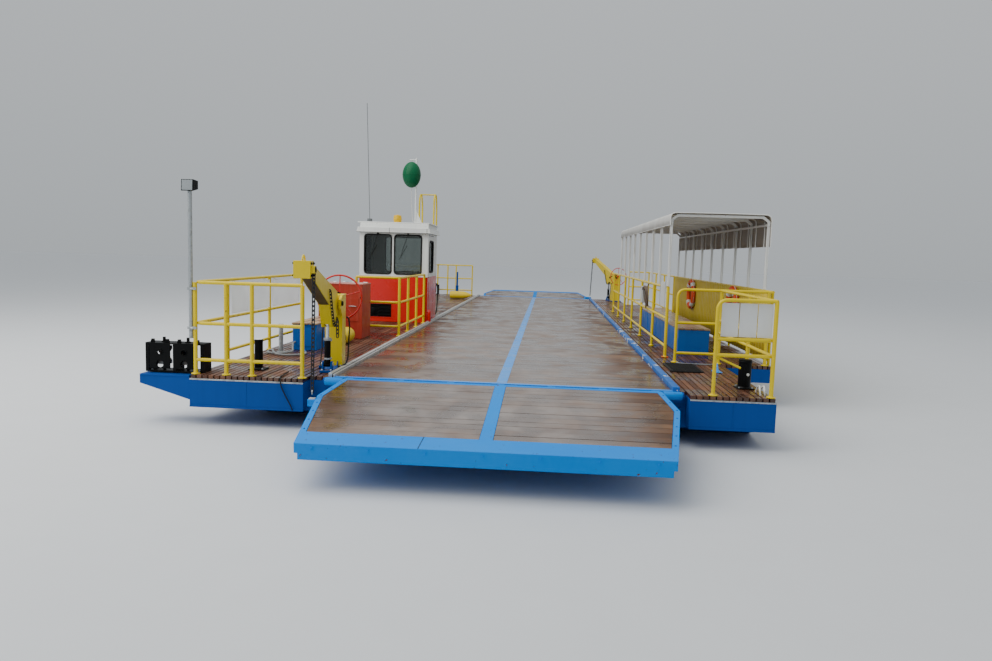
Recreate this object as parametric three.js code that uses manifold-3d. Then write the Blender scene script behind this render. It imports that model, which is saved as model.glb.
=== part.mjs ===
// River cable ferry: a flat steel pontoon with a planked roadway, a ramp and a ramp hoist at each end,
// a small steering cabin on the left side platform and a roofed passenger stand on the right one.
// Millimetres. X runs across the ferry, to the right when looking from the near end to the far end,
// Y runs from the near ramp to the far ramp, and Z is up. Within the ferry group, X = 0 is the middle
// of the roadway, Y = 0 is the near end of the roadway and Z = 0 is the top of the deck planks.
import * as THREE from 'three';
import { mergeVertices } from 'three/addons/utils/BufferGeometryUtils.js';
import Module from 'manifold-3d';

// Driving dimensions
const LENGTH = 18800; // roadway, from one end to the other
const HULL_DEPTH = 850; // from the flat bottom to the deck planks' top
const HULL_HALF = 3060; // half width of the pontoon
const LEFT_SIDE = -3650; // outer edge of the left platform
const RIGHT_SIDE = 3830; // outer edge of the right platform beside the passenger stand
const RIGHT_CORNER = 3090; // outer edge of the right platform at the two ends
const CORNER_RUN = 2450; // how far the right platform's ends are set in, from each roadway end
const NOSE = 250; // how far the side platforms run past the roadway's ends
const PLANK = 50; // thickness of the deck planks
const FASCIA_DEPTH = 380; // from the deck down to the side platforms' lower edge
const ROAD_HALF = 1985; // half width of the planked roadway
const CURB = 80; // width of the steel curbs beside the roadway
const GAP = 0.3; // left between pieces that touch
const OUTRIGGER_TIP = -4260; // outer end of the arms that carry the cable guides
const NOSE_LEFT = -2290; // inner edge of the left platform's noses
const NOSE_RIGHT = 2140; // inner edge of the right platform's noses
const LAP = 10; // how far the joined parts of one piece run into each other
const RIM = 5; // the steel edge that shows beside the platforms' planks

// Finishes: colour, roughness and metalness
const FINISH = {
  blue: [0x0c54a0, 0.45, 0.1],
  skyBlue: [0x2a8ad8, 0.4, 0.1],
  yellow: [0xe3c51e, 0.45, 0.1],
  red: [0xc8281c, 0.45, 0.1],
  darkRed: [0x9c2a20, 0.55, 0.1],
  white: [0xe8e8e4, 0.5, 0.0],
  black: [0x17181a, 0.5, 0.2],
  plank: [0x6d5240, 0.6, 0.0],
  steel: [0x8c8f92, 0.4, 0.8],
  orange: [0xe2541a, 0.6, 0.0],
  glass: [0x9fb4b8, 0.1, 0.0],
};

const wasm = await Module();
wasm.setup();

/** Turns a closed three.js geometry into a solid that can be joined and cut. */
function solidOf(geometry) {
  const bare = geometry.index ? geometry.toNonIndexed() : geometry.clone();
  bare.deleteAttribute('normal');
  bare.deleteAttribute('uv');
  const merged = mergeVertices(bare, 1e-3);
  const vertProperties = Float32Array.from(merged.attributes.position.array);
  const triVerts = Uint32Array.from(merged.index.array);
  return new wasm.Manifold(new wasm.Mesh({ numProp: 3, vertProperties, triVerts }));
}

/** Turns a solid back into a three.js geometry. */
function geometryOf(solid) {
  const mesh = solid.getMesh();
  const geometry = new THREE.BufferGeometry();
  geometry.setAttribute('position', new THREE.BufferAttribute(mesh.vertProperties, 3));
  geometry.setIndex(new THREE.BufferAttribute(mesh.triVerts, 1));
  geometry.computeVertexNormals();
  return geometry;
}

const join = (...solids) => solids.flat().reduce((whole, next) => whole.add(next));
const cut = (solid, ...tools) => tools.flat().reduce((whole, next) => whole.subtract(next), solid);

/** A box between two values on each axis. */
function box([x0, x1], [y0, y1], [z0, z1]) {
  const geometry = new THREE.BoxGeometry(x1 - x0, y1 - y0, z1 - z0);
  geometry.translate((x0 + x1) / 2, (y0 + y1) / 2, (z0 + z1) / 2);
  return solidOf(geometry);
}

/** An outline pushed along an axis: points are [y, z] for x, [x, z] for y and [x, y] for z. */
function prism(axis, points, [from, to]) {
  const shape = new THREE.Shape(points.map(([a, b]) => new THREE.Vector2(a, b)));
  const geometry = new THREE.ExtrudeGeometry(shape, { depth: to - from, bevelEnabled: false });
  const turn = new THREE.Matrix4();
  if (axis === 'x') {
    geometry.translate(0, 0, from);
    turn.set(0, 0, 1, 0, 1, 0, 0, 0, 0, 1, 0, 0, 0, 0, 0, 1);
  } else if (axis === 'y') {
    geometry.translate(0, 0, -to);
    turn.set(1, 0, 0, 0, 0, 0, -1, 0, 0, 1, 0, 0, 0, 0, 0, 1);
  } else {
    geometry.translate(0, 0, from);
  }
  return solidOf(geometry.applyMatrix4(turn));
}

/** A round bar between two points. */
function bar(from, to, diameter, sides = 6) {
  const start = new THREE.Vector3(...from);
  const run = new THREE.Vector3(...to).sub(start);
  const geometry = new THREE.CylinderGeometry(diameter / 2, diameter / 2, run.length(), sides);
  geometry.translate(0, run.length() / 2, 0);
  const up = new THREE.Vector3(0, 1, 0);
  geometry.applyQuaternion(new THREE.Quaternion().setFromUnitVectors(up, run.clone().normalize()));
  geometry.translate(start.x, start.y, start.z);
  return solidOf(geometry);
}

/** A round ring about an axis through a point. */
function ring(centre, axis, diameter, section, around, across) {
  const geometry = new THREE.TorusGeometry(diameter / 2, section / 2, across, around);
  const turn = new THREE.Quaternion().setFromUnitVectors(new THREE.Vector3(0, 0, 1), axis);
  geometry.applyQuaternion(turn);
  geometry.translate(...centre);
  return solidOf(geometry);
}

/** Adds a named piece to a group. */
function piece(parent, name, solid, finish) {
  const [color, roughness, metalness] = FINISH[finish];
  const material = new THREE.MeshStandardMaterial({ color, roughness, metalness });
  const mesh = new THREE.Mesh(geometryOf(solid), material);
  mesh.name = name;
  parent.add(mesh);
  return mesh;
}

const AXIS_X = new THREE.Vector3(1, 0, 0);
const AXIS_Y = new THREE.Vector3(0, 1, 0);

// Hull

const BARGE = {
  rake: 1600, // length of the raked bottom at each end
  transom: -420, // lower edge of the upright end plates
  sponson: -250, // lower edge of the wider side beside the passenger stand
  lugDrop: 30, // how far the hinge lugs reach below the hinge pipe
  lugSeat: 20, // how far the hinge lugs reach in from the roadway's end
};

/** Steel pontoon with raked ends, the side platforms' girders and the lugs that hold the ramps. */
function hull() {
  const { rake, transom, sponson, lugDrop, lugSeat } = BARGE;
  const top = -PLANK;
  const barge = prism('x', [[0, top], [0, transom], [rake, -HULL_DEPTH], [LENGTH - rake, -HULL_DEPTH],
    [LENGTH, transom], [LENGTH, top]], [-HULL_HALF, HULL_HALF]);
  const girders = [
    box([LEFT_SIDE, -HULL_HALF + LAP], [-NOSE, LENGTH + NOSE], [-FASCIA_DEPTH, top]),
    box([HULL_HALF - LAP, RIGHT_SIDE], [CORNER_RUN, LENGTH - CORNER_RUN], [sponson, top]),
  ];
  const noses = [[-NOSE, LAP], [LENGTH - LAP, LENGTH + NOSE]].flatMap((run) => [
    box([LEFT_SIDE, NOSE_LEFT], run, [-FASCIA_DEPTH, top]),
    box([NOSE_RIGHT, RIGHT_CORNER], run, [-FASCIA_DEPTH, top]),
  ]);
  const lugs = [];
  for (const y of [0, LENGTH]) {
    const out = y === 0 ? -1 : 1;
    for (const side of [-1, 1]) {
      const inner = side * RAMP.lugInner;
      const outer = side * RAMP.lugOuter;
      const axisY = y + out * RAMP.axisOut;
      lugs.push(bar([inner, axisY, RAMP.axisZ], [outer, axisY, RAMP.axisZ], RAMP.pipe, 12));
      const span = [Math.min(inner, outer), Math.max(inner, outer)];
      const seat = y - out * lugSeat;
      const reach = [Math.min(axisY, seat), Math.max(axisY, seat)];
      lugs.push(box(span, reach, [RAMP.axisZ - RAMP.pipe / 2 - lugDrop, top]));
    }
  }
  return join(barge, girders, noses, lugs, outrigger(0, -1), outrigger(LENGTH, 1));
}

// Ramps, in a frame with the hinge axis along X and the ramp reaching out to -Y

const RAMP = {
  axisOut: 70, // the hinge axis lies this far outside the roadway's end
  axisZ: -46,
  pipe: 88, // diameter of the hinge pipe
  hingeHalf: 1850,
  shoulderY: -780,
  shoulderHalf: 1930,
  reach: -2330,
  tipHalf: 1660,
  band: 62, // width of the steel band along each side
  beam: 330, // depth of the steel plate at the tip
  strip: 62, // half width of the strip along the middle
  stripThick: 8,
  thick: 90,
  bedStart: -64, // where the planks' bed starts, clear of the hinge pipe
  lip: 24, // thickness of the plate that hangs from the tip
  lipDrop: 60,
  lugInner: 1862,
  lugOuter: 2100,
  chainLug: 40, // half width of the lug that the chain holds
  chainLugRun: 45, // half length of that lug
  chainLugTop: -6, // its top, below the deck
  nearPitch: 4.6, // tip down on the bank
  farPitch: -3.0, // tip up
};

/** Outline of the ramp from above, drawn in by an inset. */
function rampOutline(inset, innerY, outerY) {
  const { shoulderY, shoulderHalf, hingeHalf, reach, tipHalf } = RAMP;
  const slope = (shoulderHalf - tipHalf) / (shoulderY - reach);
  const halfAt = (y) => (y > shoulderY
    ? hingeHalf + ((shoulderHalf - hingeHalf) * y) / shoulderY
    : shoulderHalf - slope * (shoulderY - y));
  const stations = [innerY, shoulderY, outerY];
  const right = stations.map((y) => [halfAt(y) - inset, y]);
  const left = stations.map((y) => [-halfAt(y) + inset, y]).reverse();
  return [...right, ...left];
}

/** Ramp frame: hinge pipe, plate, side bands, tip plate and middle strip, with the planks' bed open. */
function rampFrame({ lugX, lugY }) {
  const top = -RAMP.axisZ; // level of the deck above the hinge axis
  const under = top - RAMP.thick;
  const slab = prism('z', rampOutline(0, -20, RAMP.reach), [under, top]);
  const bedOuter = RAMP.reach + RAMP.beam;
  const bed = prism('z', rampOutline(RAMP.band, RAMP.bedStart, bedOuter), [top - PLANK, top + LAP]);
  const strip = box([-RAMP.strip, RAMP.strip], [bedOuter - LAP, RAMP.bedStart + LAP],
    [top - RAMP.stripThick, top]);
  const lip = box([-RAMP.tipHalf + 30, RAMP.tipHalf - 30], [RAMP.reach, RAMP.reach + RAMP.lip],
    [under - RAMP.lipDrop, top - RAMP.stripThick]);
  const pipe = bar([-RAMP.hingeHalf, 0, 0], [RAMP.hingeHalf, 0, 0], RAMP.pipe, 12);
  const lug = box([lugX - RAMP.chainLug, -RAMP.shoulderHalf + 60],
    [lugY - RAMP.chainLugRun, lugY + RAMP.chainLugRun], [under + LAP, top + RAMP.chainLugTop]);
  return join(cut(slab, bed), strip, lip, pipe, lug);
}

const BOARD = {
  ramp: 150, // width of the ramps' boards
  road: 200,
  platform: 145,
  groove: 9, // half width of the V groove between two boards
  grooveDepth: 14,
};

/** Outline of a row of boards, with a V groove at each joint between them. */
function plankProfile(from, to, pitch, bottom, top) {
  const { groove, grooveDepth: depth } = BOARD;
  const count = Math.round((to - from) / pitch);
  const step = (to - from) / count;
  const points = [[from, bottom], [to, bottom], [to, top]];
  for (let i = count - 1; i > 0; i -= 1) {
    const y = from + i * step;
    points.push([y + groove, top], [y, top - depth], [y - groove, top]);
  }
  points.push([from, top]);
  return points;
}

/** Planks of a ramp, in one bed, with a seat for the middle strip. */
function rampPlanks() {
  const top = -RAMP.axisZ;
  const innerY = RAMP.bedStart - GAP;
  const outerY = RAMP.reach + RAMP.beam + GAP;
  const low = top - PLANK + GAP;
  const bed = prism('z', rampOutline(RAMP.band + GAP, innerY, outerY), [low, top + LAP]);
  const profile = plankProfile(outerY, innerY, BOARD.ramp, low, top - 1);
  const boards = prism('x', profile, [-ROAD_HALF, ROAD_HALF]);
  const seat = box([-RAMP.strip - GAP, RAMP.strip + GAP], [outerY - LAP, innerY + LAP],
    [top - RAMP.stripThick - GAP, top + LAP]);
  return cut(boards.intersect(bed), seat);
}

// Hoists, each in a frame with its boom in the plane X = 0, reaching out to -Y from the pivot

const HOIST = {
  pivotY: 640, // of the pivot, measured in from the roadway's end
  width: 220,
  front: 60, // Y of the column's outboard face
  back: 300,
  height: 930,
  pivotZ: 830,
  headY: -1640, // Y of the boom's head
  headZ: 1290,
  footY: -310, // pin of the cylinder's foot
  footZ: 95,
  eyeY: -310, // pin of the rod's eye on the boom
  eyeZ: 610,
  chainX: 112, // where the chain hangs beside the head
  chainY: -1590,
  chainDrop: 48,
  boomRatio: 0.54, // boom lift for each degree of ramp lift
  wheelY: 450,
  wheelZ: 880,
  wheel: 610,
};

// Place of each hoist across its end, the turn of its boom towards the ramp, and the ramp lug that it holds
const STANCE = {
  near: { x: -2204, swing: 5.14, lugX: -1950, lugY: -900 },
  far: { x: -2760, swing: 20.5, lugX: -2066, lugY: -780 },
};

/** The same point on the boom or ramp after it turns up by an angle about a pivot, in the YZ plane. */
function lifted([y, z], [pivotY, pivotZ], degrees) {
  const a = THREE.MathUtils.degToRad(degrees);
  const dy = y - pivotY;
  const dz = z - pivotZ;
  return [pivotY + dy * Math.cos(a) + dz * Math.sin(a), pivotZ - dy * Math.sin(a) + dz * Math.cos(a)];
}

/** Column with its base plate, the pivot cheeks at the top and the bearing of the hand wheel. */
function hoistColumn() {
  const { width, front, back, height, pivotZ, footY, footZ, wheelY, wheelZ } = HOIST;
  const half = width / 2;
  const column = box([-half, half], [front, back], [GAP, height]);
  const base = box([-170, 125], [front - 60, back + 60], [GAP, 20]);
  const cheeks = [-1, 1].map((side) => {
    const span = [side * 82, side * half].sort((a, b) => a - b);
    const outline = [[-60, pivotZ - 60], [front + 5, pivotZ - 170], [front + 5, height], [-60, pivotZ + 50]];
    return prism('x', outline, span);
  });
  const pin = bar([-half - 14, 0, pivotZ], [half + 14, 0, pivotZ], 44, 10);
  const bearing = bar([0, back - 5, wheelZ], [0, wheelY - 60, wheelZ], 90, 12);
  const footPlate = box([-75, 75], [footY - 75, front - 50], [GAP, 20]);
  const lugs = [-1, 1].map((side) => prism('x', [[footY - 50, 15], [footY + 50, 15],
    [footY + 28, footZ + 34], [footY - 28, footZ + 34]], [side * 52 - 8, side * 52 + 8]));
  return join(column, base, cheeks, pin, bearing, footPlate, lugs);
}

/** Boom: a deep root plate that narrows to a box beam, with the head block and its loop handle. */
function hoistBoom(lift) {
  const { pivotZ, headY, headZ, eyeY, eyeZ } = HOIST;
  const side = [
    [38, pivotZ - 60], [38, pivotZ + 60], [-60, pivotZ + 150],
    [headY + 120, headZ + 70], [headY + 120, headZ - 60],
    [eyeY - 230, pivotZ + 20], [eyeY - 60, eyeZ - 50], [eyeY + 70, eyeZ - 50], [-40, pivotZ - 130],
  ];
  const beam = prism('x', side, [-66, 66]);
  const fork = box([-32, 32], [eyeY - 80, eyeY + 82], [eyeZ - 80, eyeZ + 75]);
  const pinHole = bar([-70, 0, pivotZ], [70, 0, pivotZ], 52, 10);
  const eyePin = bar([-50, eyeY, eyeZ], [50, eyeY, eyeZ], 22, 8);
  const head = box([-90, 90], [headY - 20, headY + 150], [headZ - 95, headZ + 90]);
  const handle = ring([0, headY + 65, headZ + 92], AXIS_X, 110, 22, 10, 6);
  const block = box([60, 130], [headY + 10, headY + 90], [headZ - 40, headZ + 40]);
  return turned(join(cut(beam, fork, pinHole), eyePin, head, handle, block), [0, pivotZ], lift);
}

/** Turns a solid up by an angle about an axis along X. */
function turned(solid, [pivotY, pivotZ], degrees) {
  const matrix = new THREE.Matrix4().makeTranslation(0, pivotY, pivotZ);
  matrix.multiply(new THREE.Matrix4().makeRotationX(-THREE.MathUtils.degToRad(degrees)));
  matrix.multiply(new THREE.Matrix4().makeTranslation(0, -pivotY, -pivotZ));
  return solidOf(geometryOf(solid).applyMatrix4(matrix));
}

/** Where the boom's head pin, the chain's lower end and the rod's eye are at a given ramp lift. */
function hoistPoints({ x, swing, lugX, lugY }, rampLift) {
  const pivot = [0, HOIST.pivotZ];
  const boomLift = rampLift * HOIST.boomRatio;
  const head = lifted([HOIST.chainY, HOIST.headZ - HOIST.chainDrop], pivot, boomLift);
  const hinge = [-RAMP.axisOut, RAMP.axisZ];
  const [y, z] = lifted([lugY - RAMP.axisOut, RAMP.chainLugTop], hinge, rampLift - RAMP.nearPitch);
  const lug = new THREE.Vector3(lugX - x, y - HOIST.pivotY, z);
  lug.applyAxisAngle(new THREE.Vector3(0, 0, 1), -THREE.MathUtils.degToRad(swing));
  const eye = lifted([HOIST.eyeY, HOIST.eyeZ], pivot, boomLift);
  return { boomLift, head: new THREE.Vector3(HOIST.chainX, ...head), lug, eye };
}

const CHAIN = {
  pitch: 95,
  wide: 34,
  thin: 12,
  overlap: 8, // how far each link runs into the next
  clear: 38, // left above the ramp's lug
};

/** Chain from the boom's head down to the ramp's lug: flat links set crosswise in turn. */
function chain(top, lug) {
  const end = lug.clone().add(new THREE.Vector3(0, 0, CHAIN.clear));
  const run = end.clone().sub(top);
  const count = Math.round(run.length() / CHAIN.pitch);
  const step = run.length() / count;
  const links = [];
  for (let i = 0; i < count; i += 1) {
    const wide = i % 2 === 0 ? CHAIN.wide : CHAIN.thin;
    const deep = i % 2 === 0 ? CHAIN.thin : CHAIN.wide;
    const overlap = i === count - 1 ? 0 : CHAIN.overlap;
    const geometry = new THREE.BoxGeometry(wide, deep, step + overlap);
    geometry.translate(0, 0, -(i + 0.5) * step - overlap / 2);
    links.push(solidOf(geometry));
  }
  const whole = geometryOf(join(links));
  const down = new THREE.Vector3(0, 0, -1);
  whole.applyQuaternion(new THREE.Quaternion().setFromUnitVectors(down, run.clone().normalize()));
  whole.translate(top.x, top.y, top.z);
  return solidOf(whole);
}

const CYLINDER = {
  barrelTop: 330, // distances are along the cylinder from its foot pin
  barrelWide: 78,
  bore: 46,
  boreBottom: 60,
  rodBottom: 112,
  rodWide: 40,
  footEye: 64,
  rodEye: 76,
  rodEyeHole: 50,
};

/** Cylinder barrel on its foot pin, and the rod whose eye stands inside the boom's fork. */
function cylinder(eye) {
  const { footY, footZ } = HOIST;
  const run = new THREE.Vector2(eye[0] - footY, eye[1] - footZ);
  const length = run.length();
  const along = (t) => [0, footY + (run.x * t) / length, footZ + (run.y * t) / length];
  const across = ([x, y, z], half) => [[x - half, y, z], [x + half, y, z]];
  const { barrelTop, barrelWide, bore, boreBottom, rodBottom, rodWide } = CYLINDER;
  const { footEye, rodEye, rodEyeHole } = CYLINDER;
  const boreSolid = bar(along(boreBottom), along(barrelTop + LAP), bore, 10);
  const eyeBottom = bar(...across(along(0), 36), footEye, 10);
  const shell = bar(along(20), along(barrelTop), barrelWide, 10);
  const barrel = join(cut(shell, boreSolid), eyeBottom);
  const eyeHole = bar(...across(along(length), 20), rodEyeHole, 12);
  const eyeRing = cut(bar(...across(along(length), 15), rodEye, 12), eyeHole);
  const rod = join(bar(along(rodBottom), along(length - rodEye / 2 + 6), rodWide, 10), eyeRing);
  return { barrel, rod };
}

/** Hand wheel with a thin rim, spokes and a hub on a shaft along Y. */
function handWheel() {
  const { wheelY, wheelZ, wheel } = HOIST;
  const rim = ring([0, wheelY, wheelZ], AXIS_Y, wheel - 24, 24, 20, 5);
  const spokes = [];
  for (let i = 0; i < 5; i += 1) {
    const a = (i / 5) * Math.PI * 2 + 0.3;
    const reach = wheel / 2 - 12;
    const end = [Math.cos(a) * reach, wheelY, wheelZ + Math.sin(a) * reach];
    spokes.push(bar([0, wheelY, wheelZ], end, 14, 4));
  }
  const hub = bar([0, wheelY - 45, wheelZ], [0, wheelY + 30, wheelZ], 70, 12);
  return join(rim, spokes, hub);
}

// Cable guides, mirrored from the near end to the far end

/** Arm that stands out from the hull's left side, with its seat on top for a cable guide. */
function outrigger(end, out) {
  const z = [[OUTRIGGER_TIP, -20], [OUTRIGGER_TIP, -125], [LEFT_SIDE + 20, -FASCIA_DEPTH + 70],
    [LEFT_SIDE + 20, -PLANK - 5], [LEFT_SIDE - 6, -PLANK - 5], [LEFT_SIDE - 6, -20]];
  const from = end + out * (NOSE - 10);
  const to = end - out * 260;
  return prism('y', z, [Math.min(from, to), Math.max(from, to)]);
}

const GUIDE = {
  left: -4235,
  right: -3525,
  out: 150, // reach past the roadway's end
  in: -60,
  base: 16, // thickness of the foot and top plates
  top: 330,
  post: 40,
  face: 14, // thickness of the front plates
  faceHalf: 125,
  faceLow: 40,
  holeZ: 235, // the round hole and the one below it, in each front plate
  hole: 60,
  lowHoleZ: 96,
  lowHole: 90,
  pin: 36,
  pinRise: 75, // how far the pins stand above the frame
  sheaves: [-4060, -3765],
  sheave: 190,
};

/** The middle of a cable guide's sheaves, along Y. */
const sheaveY = (end, out) => end + (out * (GUIDE.in + GUIDE.out - GUIDE.face)) / 2;

/** Cable guide frame: foot plate, top plate, end posts and two front plates with round holes. */
function guideFrame(end, out) {
  const { left, right, base, top, post, face, faceHalf, faceLow, pin, pinRise } = GUIDE;
  const at = (v) => end + out * v;
  const span = (a, b) => [Math.min(at(a), at(b)), Math.max(at(a), at(b))];
  const deep = span(GUIDE.in, GUIDE.out);
  const foot = box([left, right], deep, [GAP, base]);
  const cap = box([left, right], deep, [top, top + base]);
  const posts = [left, right - post, (left + right - post) / 2].map((x) => (
    box([x, x + post], deep, [base - 2, top + 2])));
  const across = (x, z, diameter) => (
    bar([x, at(GUIDE.out - 2 * face), z], [x, at(GUIDE.out + face), z], diameter, 12));
  const faces = GUIDE.sheaves.map((x) => {
    const plate = box([x - faceHalf, x + faceHalf], span(GUIDE.out - face, GUIDE.out), [faceLow, top + 2]);
    return cut(plate, across(x, GUIDE.holeZ, GUIDE.hole), across(x, GUIDE.lowHoleZ, GUIDE.lowHole));
  });
  const y = sheaveY(end, out);
  const pins = GUIDE.sheaves.map((x) => bar([x, y, base - 4], [x, y, top + pinRise], pin, 10));
  return join(foot, cap, posts, faces, pins);
}

/** Grooved sheave that turns on an upright pin. */
function sheave(x, end, out) {
  const r = GUIDE.sheave / 2;
  const y = sheaveY(end, out);
  const low = GUIDE.base + 70;
  const high = GUIDE.top - 30;
  const mid = (low + high) / 2;
  const profile = [[24, low], [r - 8, low], [r - 8, low + 40], [r - 40, mid - 16], [r - 40, mid + 16],
    [r - 8, high - 40], [r - 8, high], [24, high], [24, low]];
  const points = profile.map(([a, b]) => new THREE.Vector2(a, b));
  const geometry = new THREE.LatheGeometry(points, 16);
  geometry.rotateX(Math.PI / 2);
  geometry.translate(x, y, 0);
  return solidOf(geometry);
}

// Numbers of the passenger stand that its railings share

const CANOPY = {
  left: 2350, right: 3800, start: 3050, pitch: 975, bays: 8,
  eave: 2030, roof: 2225, sheetLow: 1745, tube: 40,
  railReach: 30, // how far the eave rails run past the end frames
  lastNear: 4, // number of the last frame of the near group
};

const WALL = { x: 3760, thick: 8, from: 2530, to: 11200, top: 1100 };

// Railings

const RAIL = {
  post: 48,
  rail: 42,
  height: 1100,
  top: 1079, // middle of the top rail
  mid: 600,
  low: 170,
  inset: 50, // from a platform's outer edge to the middle of its posts
  noseInset: 60, // from a nose's end to the middle of the posts on it
};

/** Joins upright posts at [x, y] places and rails through lists of points. */
function railing(posts, rails, height = RAIL.height) {
  const parts = posts.map(([x, y]) => bar([x, y, GAP], [x, y, height], RAIL.post));
  for (const line of rails) {
    for (let i = 1; i < line.length; i += 1) {
      parts.push(bar(line[i - 1], line[i], RAIL.rail));
    }
  }
  return join(parts);
}

/** Rails at each height along one route of [x, y] places. */
const railsAt = (route, heights) => heights.map((z) => route.map(([x, y]) => [x, y, z]));

/** Left railing: along the end of the platform and back along its side. */
function leftRailing(end, out) {
  const y = end + out * (NOSE - RAIL.noseInset);
  const [first, second, last] = [700, 2150, 3600].map((v) => end - out * v);
  const x = LEFT_SIDE + RAIL.inset;
  const inner = NOSE_LEFT - 30;
  const posts = [[x, y], [-3230, y], [-2920, y], [inner, y], [x, first], [x, second], [x, last]];
  const low = [...railsAt([[inner, y], [x, y]], [RAIL.low]), ...railsAt([[x, first], [x, last]], [RAIL.low])];
  const high = railsAt([[inner, y], [x, y], [x, last]], [RAIL.mid, RAIL.top]);
  return railing(posts, [...low, ...high]);
}

const RIGHT_RAIL = {
  corner: 2400, // inner end of the frame across the nose
  low: 460,
  mid: 640,
  bend: 120,
  second: 900,
  cross: 2497, // Y of the frame across the platform, before the passenger stand
  crossCorner: 2410,
  crossEnd: 3715,
  crossLow: 140,
  crossMid: 590,
  farInner: 3140, // inner end of the far frame
};

/** A post that bends over into a top rail: its points from the deck up, at one Y. */
const bentPost = (x, y, bend) => [[x, y, GAP], [x, y, RAIL.top - bend],
  [x + 0.3 * bend, y, RAIL.top - 0.3 * bend], [x + bend, y, RAIL.top]];

/** Near right railing: a frame across the nose, the side, and a frame across the platform. */
function rightRailingNear() {
  const { corner, low, mid, bend, second, cross, crossCorner, crossEnd, crossLow, crossMid } = RIGHT_RAIL;
  const y = -NOSE + RAIL.noseInset;
  const x = RIGHT_CORNER - RAIL.inset;
  const posts = [[x, y], [x, second], [x, cross], [crossEnd, cross]];
  const rails = [
    ...railsAt([[corner, y], [x, y], [x, cross]], [low, mid]),
    [...bentPost(corner, y, bend), [x, y, RAIL.top], [x, cross, RAIL.top]],
    ...railsAt([[crossCorner, cross], [crossEnd, cross]], [crossLow, crossMid]),
    [...bentPost(crossCorner, cross, bend), [crossEnd, cross, RAIL.top]],
  ];
  return railing(posts, rails);
}

/** Far right railing: along the wide side from the passenger wall, then across to the hoist. */
function rightRailingFar() {
  const x = RIGHT_SIDE - RAIL.inset;
  const first = WALL.to + 70;
  const last = LENGTH - CORNER_RUN - RAIL.inset;
  const posts = [[RIGHT_RAIL.farInner, last]];
  for (let i = 0; i <= 3; i += 1) {
    posts.push([x, first + (i / 3) * (last - first)]);
  }
  const route = [[x, first], [x, last], [RIGHT_RAIL.farInner, last]];
  return railing(posts, railsAt(route, [RAIL.low, RAIL.mid, RAIL.top]));
}

const INNER_RAIL = [CANOPY.start, 4600, 6290, 7940, 9560, 11120, 12680]; // Y of its posts

/** Railing beside the roadway, under the roof's left posts. */
function innerRailing() {
  const x = CANOPY.left;
  const route = [[x, INNER_RAIL[0]], [x, INNER_RAIL.at(-1)]];
  return railing(INNER_RAIL.map((y) => [x, y]), railsAt(route, [RAIL.low, RAIL.mid, RAIL.top]));
}

/** Railing in front of the cabin and along the roadway beside it. */
function cabinRailing() {
  const y = 4560;
  const x = -2140;
  const start = -2920;
  const last = CABIN.front - 50;
  const height = 1060;
  const route = [[start, y], [x, y], [x, last]];
  return railing([[start, y], [x, y], [x, 5400], [x, 6300], [x, last]],
    railsAt(route, [RAIL.low, RAIL.mid, height - RAIL.rail / 2]), height);
}

// Cabin

const CABIN = {
  left: -3560, right: -2075, front: 7250, back: 8450, wall: 40,
  base: 985, eave: 1900, roof: 2130,
  windowLow: 1010, windowHigh: 1860,
  doorFront: 7330, doorBack: 8030,
};

/** Hollow box with open top and bottom between two levels. */
function walls(inset, low, high) {
  const { left, right, front, back, wall } = CABIN;
  const outer = box([left + inset, right - inset], [front + inset, back - inset], [low, high]);
  const inner = box([left + wall + inset, right - wall - inset], [front + wall + inset, back - wall - inset],
    [low - 10, high + 10]);
  return cut(outer, inner);
}

/** Red lower part of the cabin with a floor, the door's way and a vent opening in front. */
function cabinBase() {
  const { left, right, front, back, base, doorFront, doorBack, wall } = CABIN;
  const floor = box([left + 5, right - 5], [front + 5, back - 5], [GAP, 30]);
  const doorWay = box([right - wall - 10, right + 10], [doorFront, doorBack], [60, base + 20]);
  const vent = box([left + 160, left + 720], [front - 10, front + wall + 10], [90, 390]);
  return cut(join(walls(0, GAP, base), floor), doorWay, vent);
}

/** White upper part of the cabin with the windows cut. */
function cabinWalls() {
  const { left, right, front, back, base, eave, windowLow, windowHigh, doorFront, doorBack, wall } = CABIN;
  const shell = walls(0, base + GAP, eave);
  const frontSpan = [front - LAP, front + wall + LAP];
  const sideLevels = [windowLow + 40, windowHigh - 20];
  const openings = [
    box([left + 110, left + 690], frontSpan, [windowLow + 20, windowHigh]),
    box([left + 760, left + 1340], frontSpan, [windowLow + 20, windowHigh]),
    box([left - LAP, left + wall + LAP], [front + 200, back - 200], sideLevels),
    box([left + 300, right - 300], [back - wall - LAP, back + LAP], sideLevels),
    box([right - wall - LAP, right + LAP], [doorFront, doorBack], [base - LAP, windowHigh + LAP]),
  ];
  return cut(shell, openings);
}

/** Cabin roof: a shallow raised deck over a flared visor. */
function cabinRoof() {
  const { left, right, front, back, eave, roof } = CABIN;
  const visor = prism('y', [[left - 50, eave + GAP], [right + 60, eave + GAP], [right + 30, eave + 110],
    [left - 20, eave + 110]], [front - 90, back + 50]);
  const crown = prism('x', [[front - 30, eave + 100], [back + 10, eave + 100], [back + 10, roof - 40],
    [back - 200, roof], [front + 20, roof]], [left + 10, right]);
  return join(visor, crown);
}

/** Steel cabin door with a window hole, on the roadway side. */
function cabinDoor() {
  const { right, wall, doorFront, doorBack, windowHigh } = CABIN;
  const clear = 8;
  const leaf = box([right - wall + 4, right - 2], [doorFront + clear, doorBack - clear], [72, windowHigh]);
  const hole = box([right - wall - LAP, right + LAP], [doorFront + 110, doorBack - 110],
    [1080, windowHigh - 110]);
  return cut(leaf, hole);
}

/** Steering console inside the cabin, below the front windows. */
function cabinConsole() {
  const { left, right, front, wall } = CABIN;
  const y = front + wall + 5;
  return prism('x', [[y, 31], [y + 320, 31], [y + 320, 700], [y + 260, 820], [y, 930]],
    [left + 300, right - 350]);
}

// Passenger stand

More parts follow.
